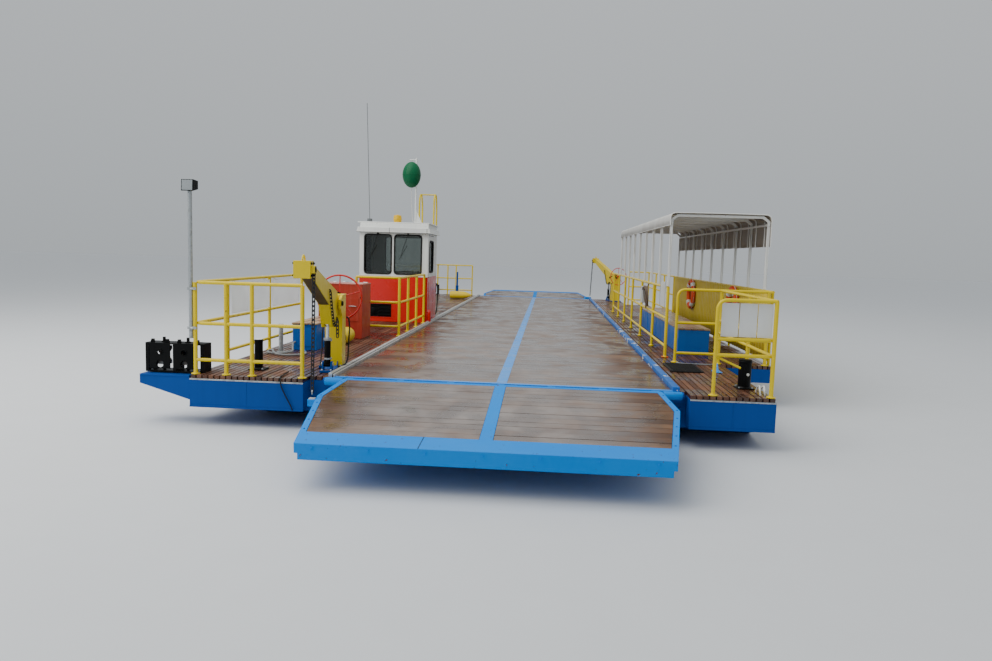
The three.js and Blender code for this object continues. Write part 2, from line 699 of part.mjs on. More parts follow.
/** Roof frames from one number to another: two posts and a bow each, joined by rails under the eaves. */
function canopyFrame(first, last) {
  const { left, right, start, pitch, bays, tube, railReach } = CANOPY;
  const half = tube / 2;
  const top = CANOPY.roof - 20;
  const outer = [[left - half, RAIL.height + 1], [left - half, top - 80], [left + 80, top], [right - 80, top],
    [right + half, top - 80], [right + half, WALL.top + 1]];
  const inner = [[right - half, WALL.top + 1], [right - half, top - 95], [right - 95, top - tube],
    [left + 95, top - tube], [left + half, top - 95], [left + half, RAIL.height + 1]];
  const parts = [];
  for (let i = first; i <= last; i += 1) {
    const y = start + i * pitch;
    parts.push(prism('y', [...outer, ...inner], [y - half, y + half]));
  }
  const from = first === 0 ? start - railReach : start + (first - 0.5) * pitch + GAP;
  const to = last === bays ? start + bays * pitch + railReach : start + (last + 0.5) * pitch;
  for (const x of [left, right]) {
    parts.push(box([x - half + 5, x + half - 5], [from, to], [top - 150, top - 115]));
  }
  return join(parts);
}

/** Roof sheet: one bent sheet with a short left skirt and a long right one. */
function canopySheet() {
  const { left, right, start, pitch, bays, eave, roof, sheetLow } = CANOPY;
  const thick = 8;
  const x0 = left - 26;
  const x1 = right + 26;
  const outer = [[x0 - thick, eave], [x0 - thick, roof - 80], [x0 + 80, roof], [x1 - 80, roof],
    [x1 + thick, roof - 80], [x1 + thick, sheetLow]];
  const inner = [[x1, sheetLow], [x1, roof - 84], [x1 - 84, roof - thick], [x0 + 84, roof - thick],
    [x0, roof - 84], [x0, eave]];
  return prism('y', [...outer, ...inner], [start - 60, start + bays * pitch + 60]);
}

/** Yellow sheet wall on the outboard side of the passenger stand, with a handrail and feet. */
function passengerWall() {
  const { x, thick, from, to, top } = WALL;
  const sheet = box([x, x + thick], [from, to], [60, top - 20]);
  const handrail = bar([x + 20, from, top - 22], [x + 20, to, top - 22], 42);
  const feet = [];
  for (let i = 0; i <= 7; i += 1) {
    const y = from + 21 + (i / 7) * (to - from - 42);
    feet.push(bar([x + 24, y, GAP], [x + 24, y, top - 25], 42));
  }
  return join(sheet, handrail, feet);
}

const BENCH = { left: 2630, right: 3150, from: 3600, to: 8800, height: 410, slat: 28, slats: 5 };

/** Bench box of the passenger stand. */
const benchBox = () => box([BENCH.left + 15, BENCH.right - 15], [BENCH.from + 15, BENCH.to - 15],
  [GAP, BENCH.height - BENCH.slat - GAP]);

/** Seat of lengthwise wooden slats, joined by a thin board below. */
function benchSlats() {
  const { left, right, from, to, height, slat, slats } = BENCH;
  const board = box([left, right], [from, to], [height - slat, height]);
  const grooves = [];
  for (let i = 1; i < slats; i += 1) {
    const x = left + (i / slats) * (right - left);
    grooves.push(box([x - 9, x + 9], [from - LAP, to + LAP], [height - 20, height + LAP]));
  }
  return cut(board, grooves);
}

const LEFT_BENCH = { left: -3280, from: 2200, to: 3440, slat: 116, pitch: 132, overhang: 20 };

/** Small bench box with a slatted top on the left platform. */
function leftBench() {
  const { left, from, to, slat, pitch, overhang } = LEFT_BENCH;
  const top = BENCH.height - BENCH.slat;
  const right = left + 2 * pitch + slat;
  const chest = box([left + LAP, right - LAP], [from + overhang, to - overhang], [GAP, top]);
  const slats = [0, 1, 2].map((i) => (
    box([left + i * pitch, left + i * pitch + slat], [from, to], [top - 4, BENCH.height])));
  return join(chest, slats);
}

// Small fittings

const BOLLARDS = [
  { name: 'bollard_left', x: -3040, y: 320, diameter: 100, height: 385, finish: 'black' },
  { name: 'bollard_right', x: 2890, y: 400, diameter: 150, height: 350, finish: 'black' },
  { name: 'bollard_far', x: -2740, y: LENGTH - 900, diameter: 100, height: 385, finish: 'blue' },
];

/** Round bollard with a base plate. */
function bollard({ x, y, diameter, height }) {
  const foot = box([x - 100, x + 100], [y - 100, y + 100], [GAP, 14]);
  return join(bar([x, y, GAP], [x, y, height], diameter, 12), foot);
}

const FLOAT = { z: 128, radius: 125, length: 700, shoulder: 50 };
const FLOATS = [
  { name: 'float_near', x: -2760, y: 2950, along: 'y' },
  { name: 'float_far', x: -2790, y: 16400, along: 'x' },
];

/** Mooring float: a round body with one flat end and one pointed end, lying along an axis. */
function float({ x, y, along }) {
  const { z, radius, length, shoulder } = FLOAT;
  const profile = [[0, 0], [radius * 0.8, 0], [radius, shoulder], [radius, length * 0.62],
    [radius * 0.3, length], [0, length]];
  const geometry = new THREE.LatheGeometry(profile.map(([a, b]) => new THREE.Vector2(a, b)), 16);
  if (along === 'x') {
    geometry.rotateZ(-Math.PI / 2);
  }
  geometry.translate(x, y, z);
  return solidOf(geometry);
}

const LIFE_RING = { out: 62, z: 760, diameter: 560, section: 110, near: 4600, far: 8420 };

/** Life ring that stands against the passenger wall. */
const lifeRing = (y) => (
  ring([WALL.x - LIFE_RING.out, y, LIFE_RING.z], AXIS_X, LIFE_RING.diameter, LIFE_RING.section, 20, 8));

const ENGINE = {
  left: -3400, right: -2640, front: 3880, back: 4480, height: 930,
  sheet: 20,
  room: 130, // left beside the engine block
  tall: 620, // of the engine block
};

/** Housing of the engine, open below. */
function engineHousing() {
  const { left, right, front, back, height, sheet } = ENGINE;
  const outer = box([left, right], [front, back], [GAP, height]);
  const room = box([left + sheet, right - sheet], [front + sheet, back - sheet], [-LAP, height - sheet]);
  return cut(outer, room);
}

/** Plain engine block inside its housing. */
function engineBlock() {
  const { left, right, front, back, sheet, room, tall } = ENGINE;
  return box([left + sheet + room, right - sheet - room], [front + 3 * sheet, back - 3 * sheet], [GAP, tall]);
}

/** Signal mast with a gusset and the green oval day mark. */
function signalMast() {
  const x = -2470;
  const y = 7850;
  const base = CABIN.roof + GAP;
  const mast = bar([x, y, base], [x, y, 3550], 42, 8);
  const plate = box([x - 70, x + 70], [y - 70, y + 70], [base, base + 10]);
  const triangle = [[x - 5, base + 5], [x + 150, base + 5], [x + 12, base + 300], [x - 5, base + 300]];
  const gusset = prism('y', triangle, [y - 5, y + 5]);
  const mark = new THREE.SphereGeometry(0.5, 16, 12);
  mark.rotateX(Math.PI / 2);
  mark.scale(400, 400, 560);
  mark.translate(x - 100, y - 10, 3190);
  return join(mast, plate, gusset, solidOf(mark));
}

/** Antenna whip on its insulator. */
function antenna() {
  const x = -3430;
  const y = 7600;
  const base = CABIN.roof + GAP;
  const insulator = bar([x, y, base], [x, y, base + 75], 110, 10);
  return join(insulator, bar([x, y, base + 70], [x - 90, y, 4660], 14, 6));
}

/** Ladder with curved handrails over the cabin's rear right corner. */
function roofLadder() {
  const y0 = 8150;
  const y1 = 8560;
  const xs = [-2440, -2112];
  const parts = [];
  for (const x of xs) {
    parts.push(bar([x, y1, GAP], [x, y1, 2500], 36));
    parts.push(bar([x, y1, 2495], [x, y1 - 90, 2750], 36));
    parts.push(bar([x, y1 - 85, 2745], [x, y1 - 230, 2820], 36));
    parts.push(bar([x, y1 - 225, 2820], [x, y0 + 40, 2700], 36));
    parts.push(bar([x, y0 + 45, 2705], [x, y0, CABIN.roof + 8], 36));
  }
  for (let z = 300; z < 2150; z += 300) {
    parts.push(bar([xs[0], y1, z], [xs[1], y1, z], 28));
  }
  parts.push(bar([xs[0], y1 - 150, 2780], [xs[1], y1 - 150, 2780], 28));
  return join(parts);
}

/** Floodlight on a tube beside the near left corner post. */
function floodlight() {
  const x = LEFT_SIDE - 2;
  const y = -NOSE + 60;
  const pole = bar([x, y, 420], [x, y, 2140], 48);
  const clamps = [520, 980].map((z) => box([x, x + 28 - GAP], [y - 12, y + 12], [z, z + 50]));
  const head = prism('x', [[y - 70, 2120], [y + 60, 2150], [y + 60, 2250], [y - 60, 2260]], [x - 75, x + 75]);
  return join(pole, head, clamps);
}

/** Yellow warning lamp on the cabin roof. */
function beacon() {
  const base = CABIN.roof + GAP;
  const points = [[0, base], [80, base], [92, base + 70], [78, base + 150], [0, base + 168]];
  const geometry = new THREE.LatheGeometry(points.map(([a, b]) => new THREE.Vector2(a, b)), 12);
  geometry.rotateX(Math.PI / 2);
  geometry.translate(-2780, 7420, 0);
  return solidOf(geometry);
}

// Assembly

const ferry = new THREE.Group();
const END = { near: [0, -1], far: [LENGTH, 1] };

piece(ferry, 'hull', hull(), 'blue');

const STRIP = { half: 62, seat: 6, proud: 2, sill: 60 };
const CURB_TOP = 45;
const curbs = [-ROAD_HALF - CURB, ROAD_HALF].map((x) => (
  box([x, x + CURB], [0, LENGTH], [-PLANK + GAP, CURB_TOP])));
const sills = [[0, STRIP.sill], [LENGTH - STRIP.sill, LENGTH]].map((span) => (
  box([-ROAD_HALF - LAP, ROAD_HALF + LAP], span, [-PLANK + GAP, STRIP.proud])));
const middleStrip = box([-STRIP.half, STRIP.half], [STRIP.sill - LAP, LENGTH - STRIP.sill + LAP],
  [-STRIP.seat + GAP, STRIP.proud]);
piece(ferry, 'roadway_frame', join(curbs, sills, middleStrip), 'skyBlue');

const roadRun = [STRIP.sill + GAP, LENGTH - STRIP.sill - GAP];
const roadBoards = prism('x', plankProfile(...roadRun, BOARD.road, -PLANK + GAP, 0),
  [-ROAD_HALF + GAP, ROAD_HALF - GAP]);
const stripSeat = box([-STRIP.half - GAP, STRIP.half + GAP], [0, LENGTH], [-STRIP.seat, LAP]);
piece(ferry, 'roadway_planks', cut(roadBoards, stripSeat), 'plank');

/** Lengthwise planks of a side platform between two edges. */
function platformPlanks(left, right) {
  const run = [-NOSE + RIM, LENGTH + NOSE - RIM];
  return prism('y', plankProfile(left, right, BOARD.platform, -PLANK + GAP, 0), run);
}
const innerEdge = ROAD_HALF + CURB + GAP;
const through = [-PLANK - LAP, LAP];
const noseGaps = (span) => [-NOSE, LENGTH].map((y) => box(span, [y - LAP, y + NOSE + LAP], through));
const leftPlanks = platformPlanks(LEFT_SIDE + RIM, -innerEdge);
piece(ferry, 'platform_planks_left', cut(leftPlanks, noseGaps([NOSE_LEFT, -ROAD_HALF])), 'plank');
const corners = [[-NOSE - LAP, CORNER_RUN], [LENGTH - CORNER_RUN, LENGTH + NOSE + LAP]].map((span) => (
  box([RIGHT_CORNER - RIM, RIGHT_SIDE + RIM], span, through)));
const rightPlanks = platformPlanks(innerEdge, RIGHT_SIDE - RIM);
piece(ferry, 'platform_planks_right', cut(rightPlanks, corners, noseGaps([ROAD_HALF, NOSE_RIGHT])), 'plank');

for (const [end, pitch] of [['near', RAMP.nearPitch], ['far', RAMP.farPitch]]) {
  const half = new THREE.Group();
  if (end === 'far') {
    half.rotation.z = Math.PI;
    half.position.y = LENGTH;
  }
  ferry.add(half);
  const ramp = new THREE.Group();
  ramp.position.set(0, -RAMP.axisOut, RAMP.axisZ);
  ramp.rotation.x = THREE.MathUtils.degToRad(pitch);
  half.add(ramp);
  const stance = STANCE[end];
  piece(ramp, `ramp_frame_${end}`, rampFrame(stance), 'skyBlue');
  piece(ramp, `ramp_planks_${end}`, rampPlanks(), 'plank');
  const hoist = new THREE.Group();
  hoist.position.set(stance.x, HOIST.pivotY, 0);
  hoist.rotation.z = THREE.MathUtils.degToRad(stance.swing);
  half.add(hoist);
  const points = hoistPoints(stance, RAMP.nearPitch - pitch);
  piece(hoist, `hoist_column_${end}`, hoistColumn(), 'yellow');
  piece(hoist, `hoist_boom_${end}`, hoistBoom(points.boomLift), 'yellow');
  piece(hoist, `hoist_chain_${end}`, chain(points.head, points.lug), 'steel');
  const { barrel, rod } = cylinder(points.eye);
  piece(hoist, `hoist_cylinder_${end}`, barrel, 'black');
  piece(hoist, `hoist_rod_${end}`, rod, 'steel');
  piece(hoist, `hand_wheel_${end}`, handWheel(), 'red');
  piece(ferry, `cable_guide_${end}`, guideFrame(...END[end]), 'black');
  GUIDE.sheaves.forEach((x, i) => {
    piece(ferry, `cable_sheave_${end}_${i + 1}`, sheave(x, ...END[end]), 'steel');
  });
  piece(ferry, `railing_left_${end}`, leftRailing(...END[end]), 'yellow');
}
piece(ferry, 'railing_right_near', rightRailingNear(), 'yellow');
piece(ferry, 'railing_right_far', rightRailingFar(), 'yellow');

piece(ferry, 'railing_inner', innerRailing(), 'yellow');
piece(ferry, 'railing_cabin', cabinRailing(), 'yellow');

piece(ferry, 'cabin_base', cabinBase(), 'red');
piece(ferry, 'cabin_walls', cabinWalls(), 'white');
piece(ferry, 'cabin_roof', cabinRoof(), 'white');
piece(ferry, 'cabin_door', cabinDoor(), 'red');
piece(ferry, 'cabin_console', cabinConsole(), 'steel');
const paneY = CABIN.front + CABIN.wall + GAP;
piece(ferry, 'cabin_front_glass', box([CABIN.left + 60, CABIN.right - 60], [paneY, paneY + 6],
  [CABIN.windowLow - 10, CABIN.windowHigh + 20]), 'glass');

piece(ferry, 'engine_housing', engineHousing(), 'darkRed');
piece(ferry, 'engine_block', engineBlock(), 'black');

piece(ferry, 'canopy_frame_near', canopyFrame(0, CANOPY.lastNear), 'white');
piece(ferry, 'canopy_frame_far', canopyFrame(CANOPY.lastNear + 1, CANOPY.bays), 'white');
piece(ferry, 'canopy_sheet', canopySheet(), 'white');
piece(ferry, 'passenger_wall', passengerWall(), 'yellow');
piece(ferry, 'bench_box', benchBox(), 'blue');
piece(ferry, 'bench_slats', benchSlats(), 'plank');
piece(ferry, 'bench_left', leftBench(), 'blue');

BOLLARDS.forEach((b) => piece(ferry, b.name, bollard(b), b.finish));
FLOATS.forEach((f) => piece(ferry, f.name, float(f), 'yellow'));
piece(ferry, 'life_ring_near', lifeRing(LIFE_RING.near), 'orange');
piece(ferry, 'life_ring_far', lifeRing(LIFE_RING.far), 'orange');
piece(ferry, 'signal_mast', signalMast(), 'white');
piece(ferry, 'antenna', antenna(), 'white');
piece(ferry, 'roof_ladder', roofLadder(), 'yellow');
piece(ferry, 'floodlight', floodlight(), 'steel');
piece(ferry, 'beacon', beacon(), 'orange');

// The ferry stands on its flat bottom, with the middle of its box above the origin.
ferry.updateMatrixWorld(true);
const extent = new THREE.Box3().setFromObject(ferry, true);
const middle = extent.getCenter(new THREE.Vector3());
ferry.position.set(-middle.x, -middle.y, -extent.min.z);

const model = new THREE.Group();
model.add(ferry);
export default model;
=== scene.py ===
"""River cable ferry: the looks of its CAD part, in a soft studio at the waterline.

Sizes are millimetres of the ferry's plan: X across from the middle of the roadway, Y along from the
roadway's near end, Z up from the top of the deck planks. Plan turns them into the part's own metres.
"""
import logging
import math
import random
from dataclasses import dataclass
from enum import Enum
from typing import Callable, Iterable, Sequence

import bmesh
import bpy
from mathutils import Matrix, Vector


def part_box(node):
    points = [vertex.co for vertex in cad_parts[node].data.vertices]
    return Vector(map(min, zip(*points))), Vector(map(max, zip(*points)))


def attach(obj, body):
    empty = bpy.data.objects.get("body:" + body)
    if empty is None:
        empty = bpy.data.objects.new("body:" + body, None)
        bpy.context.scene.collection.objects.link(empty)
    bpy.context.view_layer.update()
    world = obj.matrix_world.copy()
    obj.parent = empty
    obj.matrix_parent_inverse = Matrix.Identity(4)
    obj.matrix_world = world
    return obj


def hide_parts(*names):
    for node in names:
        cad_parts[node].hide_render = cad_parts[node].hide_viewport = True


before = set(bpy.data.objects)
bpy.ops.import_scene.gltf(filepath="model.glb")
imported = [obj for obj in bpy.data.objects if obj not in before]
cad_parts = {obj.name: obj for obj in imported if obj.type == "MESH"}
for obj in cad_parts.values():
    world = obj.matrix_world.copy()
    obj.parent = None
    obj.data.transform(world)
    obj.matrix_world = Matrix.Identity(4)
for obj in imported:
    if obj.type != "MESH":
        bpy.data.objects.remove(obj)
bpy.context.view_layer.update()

log = logging.getLogger("ferry")

Point = Sequence[float]
Span = tuple[float, float]
Colour = tuple[float, float, float, float]
Paint = str | bpy.types.NodeSocket
Number = float | bpy.types.NodeSocket

MM = 1000  # millimetres in a metre
EVEN = (1.0, 1.0, 1.0)  # stretch of a pattern that isn't drawn out
UNIT = (0.0, 1.0)
SHARP = 40  # degrees from which an edge is rounded
WELD = 0.00005  # metres between corners of a CAD node that are one corner
HINGE = (-70.0, -46.0)  # Y and Z of a ramp's hinge axis
NEAR_PITCH = 4.6  # degrees that the near ramp's tip hangs down
FAR_PITCH = -3.0
FAR_RAISED = 7.6  # degrees that the far ramp stands above the near one's place
BOOM_SHARE = 0.54  # of a ramp's lift that its boom makes
SIDES = (-1, 1)


# Material tools

def hex_linear(code: str) -> Colour:
    """Turn an sRGB hex colour such as #1f8fe4 into linear values."""
    parts = [int(code[i:i + 2], 16) / 255 for i in (1, 3, 5)]
    linear = [p / 12.92 if p <= 0.04045 else ((p + 0.055) / 1.055) ** 2.4 for p in parts]
    return (linear[0], linear[1], linear[2], 1.0)


def add_node(tree: bpy.types.NodeTree, kind: str, settings: dict | None = None,
             links: dict | None = None) -> bpy.types.Node:
    """Add one shader node with its settings and links.

    Args:
        tree: Node tree that takes the node.
        kind: Blender's type name of the node.
        settings: Values of the node itself.
        links: A socket to link or a constant for each input, by name or number.

    Returns:
        The new node.
    """
    node = tree.nodes.new(kind)
    for key, value in (settings or {}).items():
        setattr(node, key, value)
    for key, value in (links or {}).items():
        if isinstance(value, bpy.types.NodeSocket):
            tree.links.new(value, node.inputs[key])
        else:
            node.inputs[key].default_value = value
    return node


def remap(tree: bpy.types.NodeTree, value: bpy.types.NodeSocket, source: Span, target: Span,
          **settings) -> bpy.types.NodeSocket:
    """Map a value from a source range to a target range."""
    node = add_node(tree, "ShaderNodeMapRange", settings, {
        "Value": value, "From Min": source[0], "From Max": source[1], "To Min": target[0],
        "To Max": target[1]})
    return node.outputs[0]


def blend(tree: bpy.types.NodeTree, factor: bpy.types.NodeSocket, first: Paint, second: Paint,
          **settings) -> bpy.types.NodeSocket:
    """Mix two colours, each a hex code or a socket."""
    paints = [hex_linear(c) if isinstance(c, str) else c for c in (first, second)]
    node = add_node(tree, "ShaderNodeMix", {"data_type": "RGBA", **settings},
                    {0: factor, 6: paints[0], 7: paints[1]})
    return node.outputs[2]


def compute(tree: bpy.types.NodeTree, operation: str, *values: Number) -> bpy.types.NodeSocket:
    """Work out one value from constants or sockets."""
    node = add_node(tree, "ShaderNodeMath", {"operation": operation}, dict(enumerate(values)))
    return node.outputs[0]


def bump(tree: bpy.types.NodeTree, height: bpy.types.NodeSocket, strength: float,
         distance: float) -> bpy.types.NodeSocket:
    """Give the normal of a relief that is a distance in metres high."""
    node = add_node(tree, "ShaderNodeBump", None, {
        "Strength": strength, "Distance": distance, "Height": height})
    return node.outputs[0]


def shader(tree: bpy.types.NodeTree, kind: str, inputs: dict) -> bpy.types.NodeSocket:
    """Add a surface shader and give its output."""
    return add_node(tree, f"ShaderNode{kind}", None, inputs).outputs[0]


@dataclass(frozen=True)
class Finish:
    """A material that is made once, with the record's slot that it dresses."""

    name: str
    slot: str

    def material(self) -> bpy.types.Material:
        """Give the material, and make it on the first call."""
        found = bpy.data.materials.get(self.name)
        if found is not None:
            return found
        made = bpy.data.materials.new(self.name)
        made.use_nodes = True
        tree = made.node_tree
        tree.nodes.clear()
        surface = self.shade(tree)
        add_node(tree, "ShaderNodeOutputMaterial", None, {"Surface": surface})
        return made

    def shade(self, tree: bpy.types.NodeTree) -> bpy.types.NodeSocket:
        """Build the surface shader; each kind of finish has its own."""
        raise NotImplementedError

    def pattern(self, tree: bpy.types.NodeTree, size: float, stretch: Point = EVEN,
                detail: float = 3.0) -> bpy.types.NodeSocket:
        """Give a soft noise over the object.

        Args:
            tree: Node tree of the material.
            size: Size of one patch in millimetres.
            stretch: Factor on each axis; under 1 draws the patches out along it.
            detail: Octaves of the noise.

        Returns:
            A value between 0 and 1.
        """
        place = add_node(tree, "ShaderNodeTexCoord").outputs["Object"]
        scale = tuple(MM / size * s for s in stretch)
        turned = add_node(tree, "ShaderNodeMapping", None, {"Vector": place, "Scale": scale})
        noise = add_node(tree, "ShaderNodeTexNoise", None,
                         {"Vector": turned.outputs[0], "Scale": 1.0, "Detail": detail})
        return noise.outputs[0]


@dataclass(frozen=True)
class Enamel(Finish):
    """Brushed marine enamel on steel: broad fading, rain streaks, chips, and a wet gloss."""

    colour: str
    wear_and_sheen: str  # tone of faded and streaked paint
    chip: str = "#5b3a26"  # what shows where the paint is gone
    chips: float = 0.0  # 0 none, 1 much
    streaks: float = 0.25
    rough: float = 0.38
    coat: float = 0.08  # film of rain water
    chip_size: float = 70.0
    sheen: float = 0.22  # mirror strength; weathered enamel has about half of fresh paint's

    def shade(self, tree: bpy.types.NodeTree) -> bpy.types.NodeSocket:
        """Mix the paint, its fading, its streaks and its chips."""
        broad = remap(tree, self.pattern(tree, 900.0), (0.35, 0.7), (0.0, 0.35))
        faded = blend(tree, broad, self.colour, self.wear_and_sheen)
        # Rain runs down in bands about 60 mm wide; the noise is drawn out sixteen times along Z.
        bands = self.pattern(tree, 60.0, (1.0, 1.0, 0.06), 2.0)
        run = remap(tree, bands, (0.5, 0.75), (0.0, self.streaks))
        streaked = blend(tree, run, faded, self.wear_and_sheen)
        edge = 0.76 - 0.24 * self.chips
        flakes = self.pattern(tree, self.chip_size, detail=8.0)
        gone = remap(tree, flakes, (edge, edge + 0.015), (0.0, 1.0 if self.chips else 0.0))
        paint = blend(tree, gone, streaked, self.chip)
        gloss = remap(tree, self.pattern(tree, 260.0), (0.3, 0.7),
                      (self.rough - 0.1, self.rough + 0.14))
        # Brush marks and dents of a few millimetres are drawn 25 mm wide, or they would not show.
        relief = bump(tree, self.pattern(tree, 25.0), 0.18, 0.002)
        chipped = add_node(tree, "ShaderNodeBump", {"invert": True}, {
            "Strength": 0.5, "Distance": 0.001, "Height": gone, "Normal": relief})
        return shader(tree, "BsdfPrincipled", {
            "Base Color": paint, "Roughness": gloss, "Normal": chipped.outputs[0],
            "Coat Weight": self.coat, "Coat Roughness": 0.12, "IOR": 1.5,
            "Specular IOR Level": self.sheen})


@dataclass(frozen=True)
class Boards(Finish):
    """Sawn oak boards, wet: each its own tone, grain along it, dark patches with a water film."""

    dark: str
    middle: str
    light: str
    grain: Point  # stretch of the grain; small along the board
    wear_and_sheen: str = "#8d8682"  # grey of the painted sky reflection on the roadway's wet middle, partly wheel wear
    sky_sheen: float = 0.0  # strength of the painted sky reflection in the middle of the roadway

    def shade(self, tree: bpy.types.NodeTree) -> bpy.types.NodeSocket:
        """Mix the board tones, the grain, the painted grey sky reflection in the middle and the wet
        patches.
        """
        tone = add_node(tree, "ShaderNodeAttribute", {"attribute_name": "tone"})
        ramp = add_node(tree, "ShaderNodeValToRGB", None, {"Fac": tone.outputs["Fac"]})
        stops = ramp.color_ramp.elements
        stops[0].color = hex_linear(self.dark)
        stops[1].color = hex_linear(self.light)
        stops.new(0.5).color = hex_linear(self.middle)
        lines = remap(tree, self.pattern(tree, 14.0, self.grain, 5.0), (0.4, 0.75), (0.0, 0.6))
        grained = blend(tree, lines, ramp.outputs[0], self.dark)
        place = add_node(tree, "ShaderNodeTexCoord").outputs["Object"]
        sideways = add_node(tree, "ShaderNodeSeparateXYZ", None, {0: place}).outputs[0]
        distance = compute(tree, "ABSOLUTE", compute(tree, "SUBTRACT", sideways, plan.origin.x))
        # Painted reflection: the middle of the roadway is greyed in patches, standing for the pale sky
        # that the wet boards mirror.
        sheen_mask = remap(tree, distance, (1.75, 0.9), (0.0, self.sky_sheen),
                         interpolation_type="SMOOTHSTEP")
        patchy_sheen = compute(tree, "MULTIPLY", sheen_mask, self.pattern(tree, 420.0))
        sheened = blend(tree, patchy_sheen, grained, self.wear_and_sheen)
        film = remap(tree, self.pattern(tree, 350.0), (0.42, 0.58), UNIT)
        soaked = blend(tree, film, sheened, "#c9c2bd", blend_type="MULTIPLY")
        return shader(tree, "BsdfPrincipled", {
            "Base Color": soaked, "Roughness": remap(tree, film, UNIT, (0.5, 0.26)),
            "Normal": bump(tree, lines, 0.35, 0.003),
            "Coat Weight": compute(tree, "MULTIPLY", film, 0.55), "Coat Roughness": 0.16,
            "Specular IOR Level": 0.35})


@dataclass(frozen=True)
class Metal(Finish):
    """Bare metal: cast, rolled, galvanised or chromed, with grease or rust in patches."""

    colour: str
    stain: str
    stained: float = 0.4
    rough: float = 0.4
    size: float = 90.0  # of the stains, in millimetres
    metallic: float = 1.0

    def shade(self, tree: bpy.types.NodeTree) -> bpy.types.NodeSocket:
        """Mix the metal and its stain, which is dull and not metallic."""
        edge = 0.62 - 0.3 * self.stained
        patch = remap(tree, self.pattern(tree, self.size, detail=6.0),
                      (edge, 0.8 - 0.3 * self.stained), (0.0, min(1.0, 2 * self.stained)))
        return shader(tree, "BsdfPrincipled", {
            "Base Color": blend(tree, patch, self.colour, self.stain),
            "Metallic": remap(tree, patch, UNIT, (self.metallic, 0.1 * self.metallic)),
            "Roughness": remap(tree, patch, UNIT, (self.rough, min(0.9, self.rough + 0.3))),
            "Normal": bump(tree, self.pattern(tree, 16.0), 0.25, 0.001)})


@dataclass(frozen=True)
class Moulded(Finish):
    """Moulded plastic, rubber or coated cloth: even colour, slightly mottled, soft sheen."""

    colour: str
    shade_colour: str
    rough: float = 0.5
    glow: float = 0.0  # light that passes through a thin sheet
    streaks: float = 0.15

    def shade(self, tree: bpy.types.NodeTree) -> bpy.types.NodeSocket:
        """Mix two close tones, with faint streaks of dirty water."""
        blotch = remap(tree, self.pattern(tree, 380.0), (0.35, 0.7), (0.0, 0.5))
        run = remap(tree, self.pattern(tree, 90.0, (1.0, 1.0, 0.08)), (0.5, 0.72),
                    (0.0, self.streaks))
        colour = blend(tree, compute(tree, "MAXIMUM", blotch, run), self.colour, self.shade_colour)
        relief = bump(tree, self.pattern(tree, 45.0), 0.15, 0.002)
        surface = shader(tree, "BsdfPrincipled", {
            "Base Color": colour, "Roughness": self.rough, "Normal": relief,
            "Specular IOR Level": 0.3})
        if not self.glow:
            return surface
        through = shader(tree, "BsdfTranslucent", {"Color": colour, "Normal": relief})
        return shader(tree, "MixShader", {0: self.glow, 1: surface, 2: through})


@dataclass(frozen=True)
class Pane(Finish):
    """Clear float glass with a faint film of rain: mostly seen through, and it mirrors at a slant."""

    tint: str = "#d2d6d4"

    def shade(self, tree: bpy.types.NodeTree) -> bpy.types.NodeSocket:
        """Mix a tinted clear shader and a mirror by the glass's Fresnel curve."""
        clear = shader(tree, "BsdfTransparent", {"Color": hex_linear(self.tint)})
        film = remap(tree, self.pattern(tree, 120.0), (0.4, 0.7), (0.02, 0.14))
        mirror = shader(tree, "BsdfGlossy", {"Color": hex_linear("#f4f8f8"), "Roughness": film})
        fresnel = shader(tree, "Fresnel", {"IOR": 1.52})
        return shader(tree, "MixShader", {0: fresnel, 1: clear, 2: mirror})


class Plan:
    """Place of the ferry's plan in the part's frame."""

    def __init__(self) -> None:
        """Read the plan's origin and length from the CAD boxes of the roadway."""
        low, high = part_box("roadway_frame")
        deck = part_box("roadway_planks")[1].z
        self.origin = Vector(((low.x + high.x) / 2, low.y, deck))
        self.length = (high.y - low.y) * MM

    def matrix(self) -> Matrix:
        """Give the map from plan millimetres to the part's metres."""
        return Matrix.Translation(self.origin) @ Matrix.Scale(0.001, 4)

    def end(self, end: "End") -> Matrix:
        """Give the frame of one end: the far one is the near one turned half round."""
        if end is End.NEAR:
            return Matrix.Identity(4)
        return Matrix.Translation((0, self.length, 0)) @ Matrix.Rotation(math.pi, 4, "Z")

    def edge(self, end: "End") -> tuple[float, int]:
        """Give the Y of one end of the roadway and the sign of the way out from it."""
        return (0.0, -1) if end is End.NEAR else (self.length, 1)


class End(Enum):
    """The two ends of the ferry."""

    NEAR = "near"
    FAR = "far"


plan = Plan()
HERE = Matrix.Identity(4)


# The ferry's finishes

# Brushed sky-blue deck enamel, wet: pale with sheen on the strips that lie flat.
SKY_BLUE = Enamel("sky_blue_strip_enamel", "deck_steel_sky_blue", "#1f8ee6", "#57a8ea", "#6a4632",
                  chips=0.3, streaks=0.2, rough=0.32, coat=0.2, chip_size=45.0)
# The same paint, fresher and more vivid on the ramps' frames.
RAMP_BLUE = Enamel("ramp_blue_deck_enamel", "deck_steel_sky_blue", "#0a82dc", "#2390e0", "#6a4632",
                   chips=0.3, streaks=0.12, rough=0.74, coat=0.0, chip_size=40.0, sheen=0.1)
# Deep blue hull enamel, older and flatter, with faint pale smears.
HULL_BLUE = Enamel("hull_blue_enamel", "hull_blue", "#004796", "#014084", "#2c2a2c", chips=0.1,
                   streaks=0.3, rough=0.42, coat=0.0, sheen=0.12)
# The same blue peeling to a white primer, on the curb beside the passengers.
PEELING_BLUE = Enamel("peeling_blue_enamel", "hull_blue", "#0f68bc", "#0d4a94", "#dcdedb",
                      chips=0.62, streaks=0.2, rough=0.45, chip_size=260.0)
# Bright yellow rail enamel over steel tube, a little glossy.
YELLOW = Enamel("rail_yellow_enamel", "yellow_paint", "#e4c916", "#cdb214", "#6e4a1c", chips=0.12,
                streaks=0.15, rough=0.32, chip_size=30.0)
